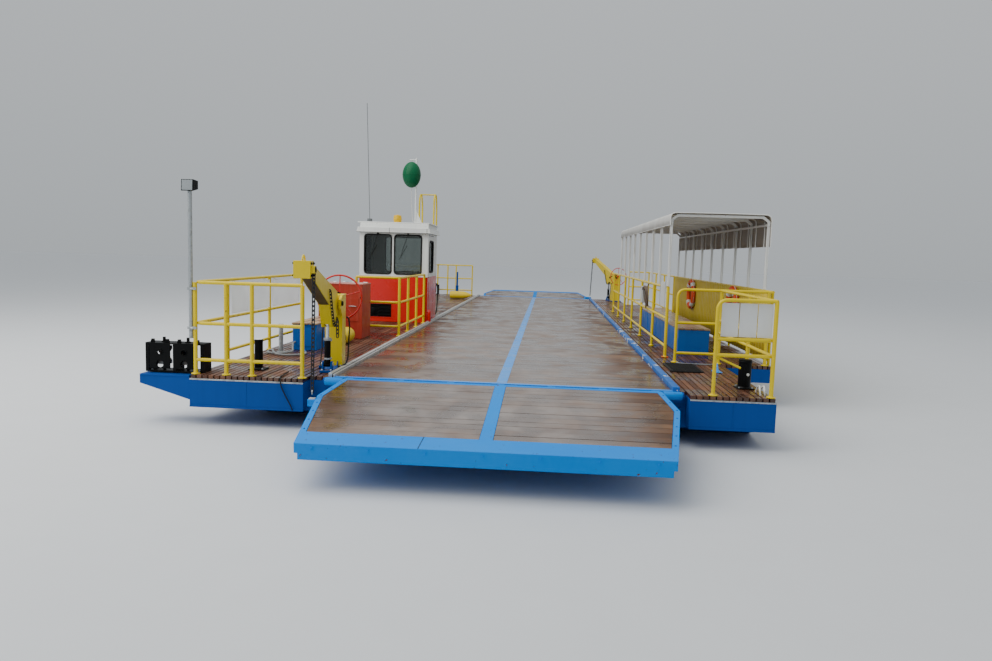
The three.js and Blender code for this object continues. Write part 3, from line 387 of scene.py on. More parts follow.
# Passenger wall: paler mustard yellow on ribbed steel sheet.
MUSTARD = Enamel("mustard_sheet_enamel", "yellow_paint", "#d2b93c", "#b79c34", "#6e4a1c",
                 chips=0.08, streaks=0.35, rough=0.42)
# Clean red cabin enamel.
RED = Enamel("cabin_red_enamel", "red_paint", "#d01f15", "#b01c14", "#4c1a14", chips=0.05,
             streaks=0.2, rough=0.3, coat=0.4)
# Faded dark red enamel of the engine housing; its top is the paler lid.
DARK_RED = Enamel("housing_dark_red_enamel", "dark_red_paint", "#a8301f", "#bb5a48", "#3a1712",
                  chips=0.1, streaks=0.4, rough=0.5, coat=0.1)
# White cabin and tube enamel, a little grey from rain.
WHITE = Enamel("white_enamel", "white_paint", "#e2e4e0", "#c2c5c1", "#8a7a66", chips=0.05,
               streaks=0.3, rough=0.34)
FRAME_WHITE = Enamel("stand_frame_white_enamel", "canopy_frame_white", "#e9eae6", "#c2c2bb",
                     "#8a6a4c", chips=0.12, streaks=0.25, rough=0.4, chip_size=30.0)
# Black bitumen enamel of guides, bollards and cylinders.
BLACK = Enamel("black_bitumen_enamel", "black_paint", "#050606", "#0e1012", "#4a3022", chips=0.12,
               streaks=0.2, rough=0.5, sheen=0.08)
GREY = Enamel("console_grey_enamel", "console_grey", "#a4abad", "#868d90", "#44484a", rough=0.45)
BENCH_BLUE = Enamel("bench_blue_enamel", "bench_blue", "#0762ba", "#0653a2", "#4a3a2e",
                    chips=0.12, streaks=0.2, rough=0.36)
# Green enamel of the oval day mark.
GREEN = Enamel("day_mark_green_enamel", "white_paint", "#045c38", "#044c30", "#0a4a30",
               rough=0.5, sheen=0.15)
# Plain flat white of dials, bands and hoops, and the same in grey for the gear box.
BLANK = Enamel("blank_board_white", "white_paint", "#e4e6e2", "#cfd2ce", rough=0.5, coat=0.0)
BLANK_GREY = Enamel("blank_board_grey", "white_paint", "#b9bcba", "#a2a6a4", rough=0.5, coat=0.0)
# Painted shade: dark brown along the boom's underside, which lies in shadow.
BOOM_UNDERSIDE_SHADE = Enamel("boom_grease_brown", "yellow_paint", "#54452f", "#33291c", rough=0.5, streaks=0.5)

# The roadway's boards get a painted grey sky reflection down their wet middle.
ROAD_OAK = Boards("road_oak_boards_wet", "oak_planks", "#472c1a", "#63442c", "#7a5a3f",
                  (0.05, 1.0, 1.0), sky_sheen=1.5)
SIDE_OAK = Boards("side_oak_boards_wet", "oak_planks", "#472c1f", "#6a432f", "#835a42",
                  (1.0, 0.04, 1.0))
SEAT_OAK = Boards("seat_oak_slats", "oak_planks", "#9a7a58", "#b8966e", "#cdb08a",
                  (1.0, 0.04, 1.0))
CHAIN_STEEL = Metal("greased_chain_steel", "chain_steel", "#3c3d3f", "#1f1b17", 0.6, 0.38, 30.0)
SHEAVE_STEEL = Metal("cast_sheave_steel", "sheave_steel", "#5a5d60", "#3a2c22", 0.5, 0.42)
CHROME = Metal("hard_chrome_rod", "rod_chrome", "#c9ccce", "#a8abad", 0.1, 0.12)
ZINC = Metal("hot_dip_zinc", "galvanised_steel", "#b4b9bb", "#8e9394", 0.5, 0.42, 60.0)
IRON = Metal("engine_cast_iron", "engine_iron", "#2c2e30", "#171412", 0.6, 0.55)
PALE_STEEL = Metal("worn_curb_steel", "galvanised_steel", "#c4c6c4", "#9a9690", 0.45, 0.4, 120.0,
                   0.6)
RUBBER = Moulded("black_rubber", "black_paint", "#141414", "#1f2020", 0.62)
GREY_HOSE = Moulded("grey_pvc_hose", "antenna_plastic", "#8c9092", "#6f7375", 0.5)
BLUE_PLASTIC = Moulded("blue_moulded_plastic", "bench_blue", "#1d5fae", "#164a8a", 0.5)
FLOAT_YELLOW = Moulded("float_yellow_polyethylene", "float_yellow_plastic", "#e2c62a", "#c4a51f",
                       0.45)
ORANGE = Moulded("life_ring_orange_cover", "orange_plastic", "#e4511a", "#c54314", 0.55)
BROWN_ROPE = Moulded("brown_hemp_rope", "oak_planks", "#6e5f50", "#564a3e", 0.85)
ROPE = Moulded("white_polyester_rope", "white_paint", "#dcdcd4", "#b8b8b0", 0.8)
WHIP = Moulded("antenna_glass_fibre", "antenna_plastic", "#6a6e70", "#585c5e", 0.5)
AMBER = Moulded("amber_lamp_lens", "amber_plastic", "#f4d01c", "#e6b414", 0.25, 0.3, 0.0)
# Roof sheet: white coated cloth on top, that lets a little light through.
ROOF_SHEET = Moulded("roof_sheet_white_coated", "canopy_sheet_white", "#e6e6e2", "#c8c6c0", 0.5,
                     0.3, 0.35)
LAMP_FACE = Moulded("lamp_grey_lens", "galvanised_steel", "#9aa0a2", "#80868a", 0.15, 0.0, 0.0)
GLASS = Pane("rainy_float_glass", "window_glass")
# The lid of the engine housing, bleached and wet: its paler red is partly a painted reflection of the
# pale sky, which its clear coat also mirrors.
LID_RED = Enamel("housing_lid_pale_sheen_enamel", "dark_red_paint", "#b9695a", "#c98f82", "#4a241c",
                 chips=0.1, streaks=0.1, rough=0.4, coat=0.5)
# Painted shade: a grey-brown sheet just below the white roof sheet stands for the roof's underside in
# shadow.
UNDERSIDE_SHADE_SHEET = Moulded("roof_sheet_painted_shade_underside", "canopy_sheet_white", "#bfb7ac", "#a89f94", 0.6,
                      0.45)
# Blank sheets on the railings, thin enough that the sky shows through.
BLANK_SHEET = Moulded("blank_sheet_translucent_white", "white_paint", "#f4f6f6", "#e6e8e8", 0.4,
                      0.55, 0.05)


# Shapes

def rounded(points: Sequence[Point], radius: float, steps: int = 6) -> list[Vector]:
    """Round the corners of a path.

    Args:
        points: Corners of the path.
        radius: Bend radius, cut down where a leg is short.
        steps: Points along each bend.

    Returns:
        The path with arcs at its corners.
    """
    corners = [Vector(p) for p in points]
    path = [corners[0]]
    for before, corner, after in zip(corners, corners[1:], corners[2:]):
        back = before - corner
        ahead = after - corner
        reach = min(radius, back.length * 0.45, ahead.length * 0.45)
        start = corner + back.normalized() * reach
        stop = corner + ahead.normalized() * reach
        for i in range(steps + 1):
            t = i / steps
            path.append((1 - t) ** 2 * start + 2 * t * (1 - t) * corner + t ** 2 * stop)
    path.append(corners[-1])
    return path


def across(axis: Point) -> tuple[Vector, Vector, Vector]:
    """Give an axis and two directions square to it."""
    along = Vector(axis).normalized()
    side = along.orthogonal().normalized()
    return along, side, along.cross(side)


def circle(centre: Vector, side: Vector, other: Vector, radius: float, count: int) -> list[Vector]:
    """Give points on the circle that two directions span."""
    angles = [2 * math.pi * k / count for k in range(count)]
    return [centre + radius * (math.cos(a) * side + math.sin(a) * other) for a in angles]


def button(radius: float, inner: float, low: float, high: float, top: float) -> list[Span]:
    """Give the profile of a round button with a sloped rim, from a low to a top height."""
    return [(radius, low), (radius, high), (inner, top), (0, top)]


class Shape:
    """Gathers faces in millimetres of one frame and turns them into one dressed piece."""

    POINT = 0.05  # radius that stands for a point, so that no face has no area

    def __init__(self, place: Matrix = HERE, seed: int = 1) -> None:
        """Start an empty shape.

        Args:
            place: Frame of the points, within the plan.
            seed: Seed of the tones that tell boards and slats apart.
        """
        self.place = plan.matrix() @ place
        self.bm = bmesh.new()
        self.layer = self.bm.faces.layers.float.new("tone")
        self.chance = random.Random(seed)

    def loft(self, rings: Sequence[Sequence[Point]], caps: bool = True, around: bool = True,
             closed: bool = False) -> None:
        """Skin rings of points.

        Args:
            rings: Rows with the same number of points.
            caps: Close the first and last ring with a face.
            around: Join the end of each ring with its start.
            closed: Join the last ring with the first.
        """
        tone = self.chance.random()
        rows = [[self.bm.verts.new(self.place @ Vector(p)) for p in ring] for ring in rings]
        pairs = list(zip(rows, rows[1:]))
        if closed:
            pairs.append((rows[-1], rows[0]))
        count = len(rows[0])
        faces = []
        for a, b in pairs:
            for i in range(count if around else count - 1):
                j = (i + 1) % count
                faces.append(self.bm.faces.new((a[i], a[j], b[j], b[i])))
        if caps and not closed:
            faces.append(self.bm.faces.new(rows[0][::-1]))
            faces.append(self.bm.faces.new(rows[-1]))
        for face in faces:
            face[self.layer] = tone

    def box(self, x: Span, y: Span, z: Span) -> None:
        """Add a box between two values on each axis."""
        self.loft([[(x[0], y[0], h), (x[1], y[0], h), (x[1], y[1], h), (x[0], y[1], h)] for h in z])

    def prism(self, axis: int, outline: Sequence[Point], span: Span) -> None:
        """Push an outline along an axis; its points hold the other two axes in order."""
        def at(value: float, pair: Point) -> list[float]:
            point = list(pair)
            point.insert(axis, value)
            return point
        self.loft([[at(value, pair) for pair in outline] for value in span])

    def tube(self, points: Sequence[Point], diameter: float, bend: float = 0.0, sides: int = 14,
             closed: bool = False) -> None:
        """Sweep a round section along a path with bent corners.

        Args:
            points: Corners of the path.
            diameter: Diameter of the tube.
            bend: Bend radius at the corners.
            sides: Sides of the section.
            closed: Join the end with the start.
        """
        path = rounded(points, bend) if bend else [Vector(p) for p in points]
        runs = [(b - a).normalized() for a, b in zip(path, path[1:])]
        side = runs[0].orthogonal().normalized()
        rings = []
        for i, centre in enumerate(path):
            before = runs[max(i - 1, 0)]
            ahead = runs[min(i, len(runs) - 1)]
            if closed and i in (0, len(path) - 1):
                before, ahead = runs[-1], runs[0]
            run = (before + ahead).normalized()
            side = (side - run * side.dot(run)).normalized()
            other = run.cross(side)
            rings.append(circle(centre, side, other, diameter / 2, sides))
        self.loft(rings[:-1] if closed else rings, closed=closed)

    def lathe(self, centre: Point, axis: Point, profile: Sequence[Point], sides: int = 28) -> None:
        """Turn a profile of (radius, height) pairs about an axis through a centre."""
        along, side, other = across(axis)
        self.loft([circle(Vector(centre) + along * height, side, other, max(radius, self.POINT),
                          sides) for radius, height in profile])

    def ring(self, centre: Point, axis: Point, diameter: float, section: float, around: int = 40,
             sides: int = 12, squash: float = 1.0) -> None:
        """Add a round ring about an axis; squash flattens its section along the axis."""
        along, side, other = across(axis)
        rings = []
        for out in circle(Vector((0, 0, 0)), side, other, 1.0, around):
            middle = Vector(centre) + out * diameter / 2
            rings.append([middle + section / 2 * (math.cos(b) * out + squash * math.sin(b) * along)
                          for b in (2 * math.pi * k / sides for k in range(sides))])
        self.loft(rings, closed=True)

    def bolts(self, places: Iterable[Point], axis: Point, size: float = 24.0) -> None:
        """Add hexagon bolt heads that stand out along an axis."""
        for place in places:
            half = size / 2
            self.lathe(place, axis, [(half * 1.35, -4.0), (half * 1.35, 2.0), (half, 2.0),
                                     (half, half * 0.9), (half * 0.8, half * 1.1)], 6)

    def done(self, name: str, finish: Finish, body: str = "root", soften: float = 0.0,
             thick: float = 0.0, smooth: float = 35.0, instead: Iterable[str] = ()
             ) -> bpy.types.Object:
        """Make the object, dress it and let it ride on a body.

        Args:
            name: Name of the piece.
            finish: Its finish.
            body: The body that it moves with.
            soften: Width of the rounded edges in millimetres.
            thick: Thickness given to an open sheet, in millimetres.
            smooth: Largest angle in degrees that is shaded as smooth.
            instead: CAD nodes that the piece stands for.

        Returns:
            The new object.
        """
        bmesh.ops.recalc_face_normals(self.bm, faces=self.bm.faces[:])
        mesh = bpy.data.meshes.new(name)
        self.bm.to_mesh(mesh)
        self.bm.free()
        mesh.materials.append(finish.material())
        mesh.shade_smooth()
        mesh.set_sharp_from_angle(angle=math.radians(smooth))
        obj = add_object(name, mesh)
        if thick:
            sheet = obj.modifiers.new("thickness", "SOLIDIFY")
            sheet.thickness = thick / MM
            sheet.offset = 0.0
        if soften:
            round_edges(obj, soften)
        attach(obj, body)
        if instead:
            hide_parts(*instead)
        log.info("piece %s on %s: %d faces", name, body, len(mesh.polygons))
        return obj


def add_object(name: str, data: bpy.types.ID) -> bpy.types.Object:
    """Make an object of some data and link it to the scene."""
    obj = bpy.data.objects.new(name, data)
    bpy.context.scene.collection.objects.link(obj)
    return obj


def round_edges(obj: bpy.types.Object, width: float, segments: int = 2) -> None:
    """Round an object's edges by a width in millimetres."""
    bevel = obj.modifiers.new("rounded_edges", "BEVEL")
    bevel.width = width / MM
    bevel.segments = segments
    bevel.limit_method = "ANGLE"
    bevel.angle_limit = math.radians(SHARP)
    bevel.harden_normals = True


def dress(node: str, finish: Finish, soften: float = 3.0) -> None:
    """Give a CAD node its finish and softly rounded edges, with its shape kept.

    Args:
        node: Name of the CAD node.
        finish: Finish that it gets.
        soften: Width of the rounded edges in millimetres, or 0.
    """
    obj = bpy.data.objects[node]
    obj.data.materials.clear()
    obj.data.materials.append(finish.material())
    for slot in obj.material_slots:
        slot.material = finish.material()
    if soften:
        weld = obj.modifiers.new("joined_corners", "WELD")
        weld.merge_threshold = WELD
        round_edges(obj, soften)
    log.info("node %s in %s", node, finish.name)


# Hull and decks

@dataclass
class Hull:
    """Steel pontoon: its node in deep blue enamel, with rims, hinge sleeves, welds and plate edges."""

    left: float = -3650.0
    nose_left: float = -2290.0
    nose_right: float = 2140.0
    right: float = 3090.0
    wide: float = 3830.0
    corner: float = 2450.0
    nose: float = 250.0
    fascia: float = 380.0
    plank: float = 50.0
    lug: Span = (1866.0, 2096.0)
    sleeve: float = 98.0
    arm_tip: float = -4260.0

    def build(self) -> None:
        """Dress the hull and add what is fixed to its sides."""
        dress("hull", HULL_BLUE, 4.0)
        for end in End:
            self.rims(end)
            self.hinge_sleeves(end)
            self.arm_edge(end)
        self.side_rims()

    def rims(self, end: End) -> None:
        """Add the pale steel edge over each nose's plate and the flat bar along its foot."""
        rim = Shape(plan.end(end))
        foot = Shape(plan.end(end))
        spans = [(self.left, self.nose_left), (self.nose_right, self.right)]
        if end is End.FAR:
            spans = [(-b, -a) for a, b in spans]
        for span in spans:
            rim.box(span, (-self.nose - 5, -self.nose + 6), (-self.plank - 12, -self.plank + 6))
            foot.box(span, (-self.nose - 8, -self.nose + 4), (-self.fascia - 4, -self.fascia + 18))
            upright = span[0] + 0.5 * (span[1] - span[0])
            foot.box((upright, upright + 8), (-self.nose - 3, -self.nose + 4),
                     (-self.fascia, -self.plank - 14))
        rim.done(f"nose_rim_{end.value}", ZINC, soften=1.5)
        foot.done(f"nose_foot_bar_{end.value}", HULL_BLUE, soften=2.0)

    def side_rims(self) -> None:
        """Add the rubbing bars along both sides, in lengths with a weld between them."""
        bar = Shape()
        length = 2400.0
        runs = [(self.left, -1, -self.nose, plan.length + self.nose),
                (self.wide, 1, self.corner, plan.length - self.corner)]
        for x, side, start, stop in runs:
            y = start
            while y < stop - 50:
                reach = min(y + length - 6, stop)
                for z in (-self.plank - 30, -220.0):
                    bar.box((x - 6, x + 6) if side > 0 else (x - 8, x + 4), (y, reach), (z, z + 26))
                y += length
        bar.done("side_rubbing_bars", HULL_BLUE, soften=4.0)

    def hinge_sleeves(self, end: End) -> None:
        """Add the sky-blue sleeves on the ramp's hinge lugs, with end caps and a bolted bracket."""
        sleeve = Shape(plan.end(end))
        bolts = Shape(plan.end(end))
        half = self.sleeve / 2
        for side in SIDES:
            profile = [(half - 6, self.lug[0]), (half, self.lug[0] + 8), (half, self.lug[1] - 22),
                       (half - 14, self.lug[1] - 2), (0.0, self.lug[1] + 2)]
            sleeve.lathe((0, *HINGE), (side, 0, 0), profile, 28)
            x = side * 2030
            sleeve.box((x - 62, x + 62), (-18, 26), (-44, -14))
            places = [(x + dx, -24, -110.0 - dz) for dx in (-46, 46) for dz in (0, 90)]
            bolts.bolts(places, (0, -1, 0), 22)
        sleeve.done(f"hinge_sleeves_{end.value}", RAMP_BLUE, soften=3.0)
        bolts.done(f"hinge_bolts_{end.value}", HULL_BLUE)

    def arm_edge(self, end: End) -> None:
        """Add the tread plate on top of the arm that carries the cable guide."""
        base, out = plan.edge(end)
        span = sorted((base + out * (self.nose - 16), base - out * 250))
        plate = Shape()
        plate.box((self.arm_tip + 8, self.left - 10), (span[0], span[1]), (-20, -14))
        edge = sorted((base + out * (self.nose - 18), base + out * (self.nose - 4)))
        plate.box((self.arm_tip + 2, self.left - 8), (edge[0], edge[1]), (-34, -16))
        plate.done(f"guide_arm_tread_{end.value}", HULL_BLUE, soften=2.0)


@dataclass
class Decks:
    """Boards of the roadway and of both side platforms, with the steel curbs, sills and strip."""

    road_half: float = 1985.0
    curb: float = 80.0
    curb_top: float = 45.0
    plank: float = 50.0
    gap: float = 8.0  # dark joint between two boards
    pitch: float = 200.0
    sill: float = 60.0
    strip: float = 62.0
    nose: float = 245.0
    corner: float = 2450.0

    def build(self) -> None:
        """Lay the decks and the steel around them."""
        self.roadway()
        self.platforms()
        self.curbs()
        self.strips()

    def roadway(self) -> None:
        """Lay the roadway's cross boards, two in each row, a little uneven."""
        boards = Shape(seed=11)
        run = (self.sill + 0.3, plan.length - self.sill - 0.3)
        count = round((run[1] - run[0]) / self.pitch)
        step = (run[1] - run[0]) / count
        for i in range(count):
            low = run[0] + i * step + self.gap / 2
            high = low + step - self.gap
            for side in SIDES:
                inner = self.strip - 4
                outer = self.road_half - 1 - boards.chance.uniform(0, 5)
                x = sorted((side * inner, side * outer))
                drop = boards.chance.uniform(0.0, 2.5)
                boards.box((x[0], x[1]), (low, high), (-self.plank, -drop))
        boards.done("roadway_boards", ROAD_OAK, soften=4.0, instead=["roadway_planks"])

    def platforms(self) -> None:
        """Lay the lengthwise boards of the platforms in staggered lengths."""
        inner = self.road_half + self.curb + 0.3
        ends = (-self.nose, plan.length + self.nose)
        short = (1.0, plan.length - 1.0)
        wide = (self.corner + 1, plan.length - self.corner - 1)
        left = [(-3645.0, -2290.0, 19, ends), (-2290.0, -inner, 3, short)]
        right = [(inner, 2140.0, 1, short), (2140.0, 3085.0, 13, ends), (3085.0, 3825.0, 10, wide)]
        for name, groups in (("left", left), ("right", right)):
            boards = Shape(seed=23 if name == "left" else 29)
            for x0, x1, count, run in groups:
                step = (x1 - x0) / count
                for i in range(count):
                    self.row(boards, (x0 + i * step + 7.0, x0 + (i + 1) * step - 7.0), run)
            boards.done(f"platform_boards_{name}", SIDE_OAK, soften=4.0,
                        instead=[f"platform_planks_{name}"])

    def row(self, boards: Shape, x: Span, run: Span) -> None:
        """Lay one row of boards end to end, each between 3 and 5 m long."""
        y = run[0] + boards.chance.uniform(0, 3)
        while y < run[1] - 20:
            reach = y + boards.chance.uniform(3000, 5000)
            if reach > run[1] - 900:
                reach = run[1] - boards.chance.uniform(0, 6)
            boards.box(x, (y, reach), (-self.plank, -boards.chance.uniform(0, 4)))
            y = reach + 5

    def curbs(self) -> None:
        """Add the pale left curb with its dark slot, and the right curb with peeling paint."""
        low = -self.plank + 0.3
        half = self.road_half
        edge = half + self.curb
        left = Shape()
        right = Shape()
        slot = Shape()
        y = 0.0
        while y < plan.length - 10:
            reach = min(y + 2996, plan.length)
            left.box((-edge, -half - 34), (y, reach), (low, self.curb_top))
            left.box((-half - 22, -half), (y, reach), (low, self.curb_top - 12))
            right.box((half, edge), (y, reach), (low, self.curb_top))
            y += 3000
        slot.box((-half - 36, -half - 20), (4, plan.length - 4), (low, 6))
        for shape, name, finish, soften in ((left, "curb_left", PALE_STEEL, 5.0),
                                            (right, "curb_right", PEELING_BLUE, 5.0),
                                            (slot, "curb_slot", RUBBER, 1.0)):
            shape.done(name, finish, soften=soften, instead=["roadway_frame"])

    def strips(self) -> None:
        """Add the sky-blue sills and the middle strip with its screws."""
        steel = Shape()
        for y in (0.0, plan.length - self.sill):
            steel.box((-self.road_half - 8, self.road_half + 8), (y, y + self.sill),
                      (-self.plank + 0.3, 2.0))
        y = self.sill - 8
        screws = Shape()
        while y < plan.length - self.sill:
            reach = min(y + 2397, plan.length - self.sill + 8)
            steel.box((-self.strip, self.strip), (y, reach), (-6.0, 2.0))
            for place in (y + 60, (y + reach) / 2, reach - 60):
                for x in (-42, 42):
                    screws.lathe((x, place, 0), (0, 0, 1),
                                 [(15, 0.5), (15, 2.6), (11, 4.2), (0, 4.4)], 12)
            y += 2400
        steel.done("sills_and_strip", SKY_BLUE, soften=2.0, instead=["roadway_frame"])
        screws.done("strip_screws", ZINC, instead=["roadway_frame"])


# Ramps

@dataclass
class AtEnd:
    """A part that each end of the ferry has."""

    end: End

    def tag(self, stem: str) -> str:
        """Give a name that ends with the part's end."""
        return f"{stem}_{self.end.value}"


@dataclass
class Ramp(AtEnd):
    """One hinged ramp: its steel node, oak boards in two halves, knuckles, welds and bolts."""

    pitch: float  # degrees about the hinge; tip down is positive
    top: float = 46.0  # level of the boards above the hinge axis
    inner: float = -64.3
    outer: float = -1999.7
    shoulder: float = -780.0
    shoulder_half: float = 1930.0
    hinge_half: float = 1850.0
    reach: float = -2330.0
    tip_half: float = 1660.0
    band: float = 62.0
    board: float = 150.0
    plank: float = 50.0
    strip: float = 62.0

    def place(self) -> Matrix:
        """Give the ramp's frame within the plan."""
        turn = Matrix.Rotation(math.radians(self.pitch), 4, "X")
        return plan.end(self.end) @ Matrix.Translation((0, *HINGE)) @ turn

    def half_at(self, y: float) -> float:
        """Give the ramp's half width at a distance from the hinge."""
        if y > self.shoulder:
            return self.hinge_half + (self.shoulder_half - self.hinge_half) * y / self.shoulder
        slope = (self.shoulder_half - self.tip_half) / (self.shoulder - self.reach)
        return self.shoulder_half - slope * (self.shoulder - y)

    def build(self) -> None:
        """Dress the steel and lay the boards."""
        dress(self.tag("ramp_frame"), RAMP_BLUE, 3.0)
        self.boards()
        self.knuckles()
        self.welds()

    def boards(self) -> None:
        """Lay the boards in two halves beside the middle strip."""
        boards = Shape(self.place(), seed=5 if self.end is End.NEAR else 7)
        count = round((self.inner - self.outer) / self.board)
        step = (self.inner - self.outer) / count
        for i in range(count):
            y = (self.outer + i * step + 3.0, self.outer + (i + 1) * step - 3.0)
            for side in SIDES:
                inner = side * (self.strip + 1)
                ends = [side * (self.half_at(v) - self.band - 2) for v in y]
                drop = boards.chance.uniform(0.0, 3.0)
                outline = [(inner, y[0]), (ends[0], y[0]), (ends[1], y[1]), (inner, y[1])]
                boards.prism(2, outline, (self.top - self.plank + 1, self.top - 1 - drop))
        boards.done(self.tag("ramp_boards"), ROAD_OAK, self.tag("ramp"), soften=4.0,
                    instead=[self.tag("ramp_planks")])

    def knuckles(self) -> None:
        """Add the sleeves and gussets along the hinge pipe."""
        steel = Shape(self.place())
        for x in (-1780, -1180, -590, 0, 590, 1180, 1780):
            steel.lathe((x - 45, 0, 0), (1, 0, 0), [(44, 0), (50, 3), (50, 87), (44, 90)], 24)
        for x in (-1480, -885, -295, 295, 885, 1480):
            steel.prism(0, [(-20, -43), (-160, -43), (-160, -30), (-30, 10)], (x - 6, x + 6))
        steel.done(self.tag("hinge_knuckles"), RAMP_BLUE, self.tag("ramp"), soften=2.0)

    def welds(self) -> None:
        """Add the rusty weld across the tip plate, the seams of the bands and their bolts."""
        rust = Shape(self.place())
        seam = self.tip_half * -0.34
        rust.box((seam - 4, seam + 4), (self.reach + 2, self.outer), (self.top - 3, self.top + 1.5))
        rust.box((-self.tip_half + 20, self.tip_half - 20), (self.outer - 6, self.outer + 2),
                 (self.top - 8, self.top - 1))
        rust.done(self.tag("ramp_weld"), CHAIN_STEEL, self.tag("ramp"), soften=1.0)
        bolts = Shape(self.place())
        places = []
        for side in SIDES:
            for i in range(7):
                y = self.inner - 120 - i * 290
                places.append((side * (self.half_at(y) - self.band / 2), y, self.top))
        bolts.bolts(places, (0, 0, 1), 17)
        face = [(x, self.reach, 8.0) for x in range(-1500, 1501, 500)]
        bolts.bolts(face, (0, -1, 0), 20)
        bolts.done(self.tag("ramp_bolts"), RAMP_BLUE, self.tag("ramp"))
        ribs = Shape(self.place())
        for x in range(-1500, 1501, 375):
            ribs.box((x - 5, x + 5), (self.outer, self.inner), (self.top - 150, self.top - 88))
        ribs.done(self.tag("ramp_under_ribs"), HULL_BLUE, self.tag("ramp"), soften=2.0)


# Ramp hoists

def lifted(point: Span, pivot: Span, degrees: float) -> Span:
    """Turn a (Y, Z) point of a boom or ramp up about a pivot."""
    a = math.radians(degrees)
    dy = point[0] - pivot[0]
    dz = point[1] - pivot[1]
    return (pivot[0] + dy * math.cos(a) + dz * math.sin(a),
            pivot[1] - dy * math.sin(a) + dz * math.cos(a))


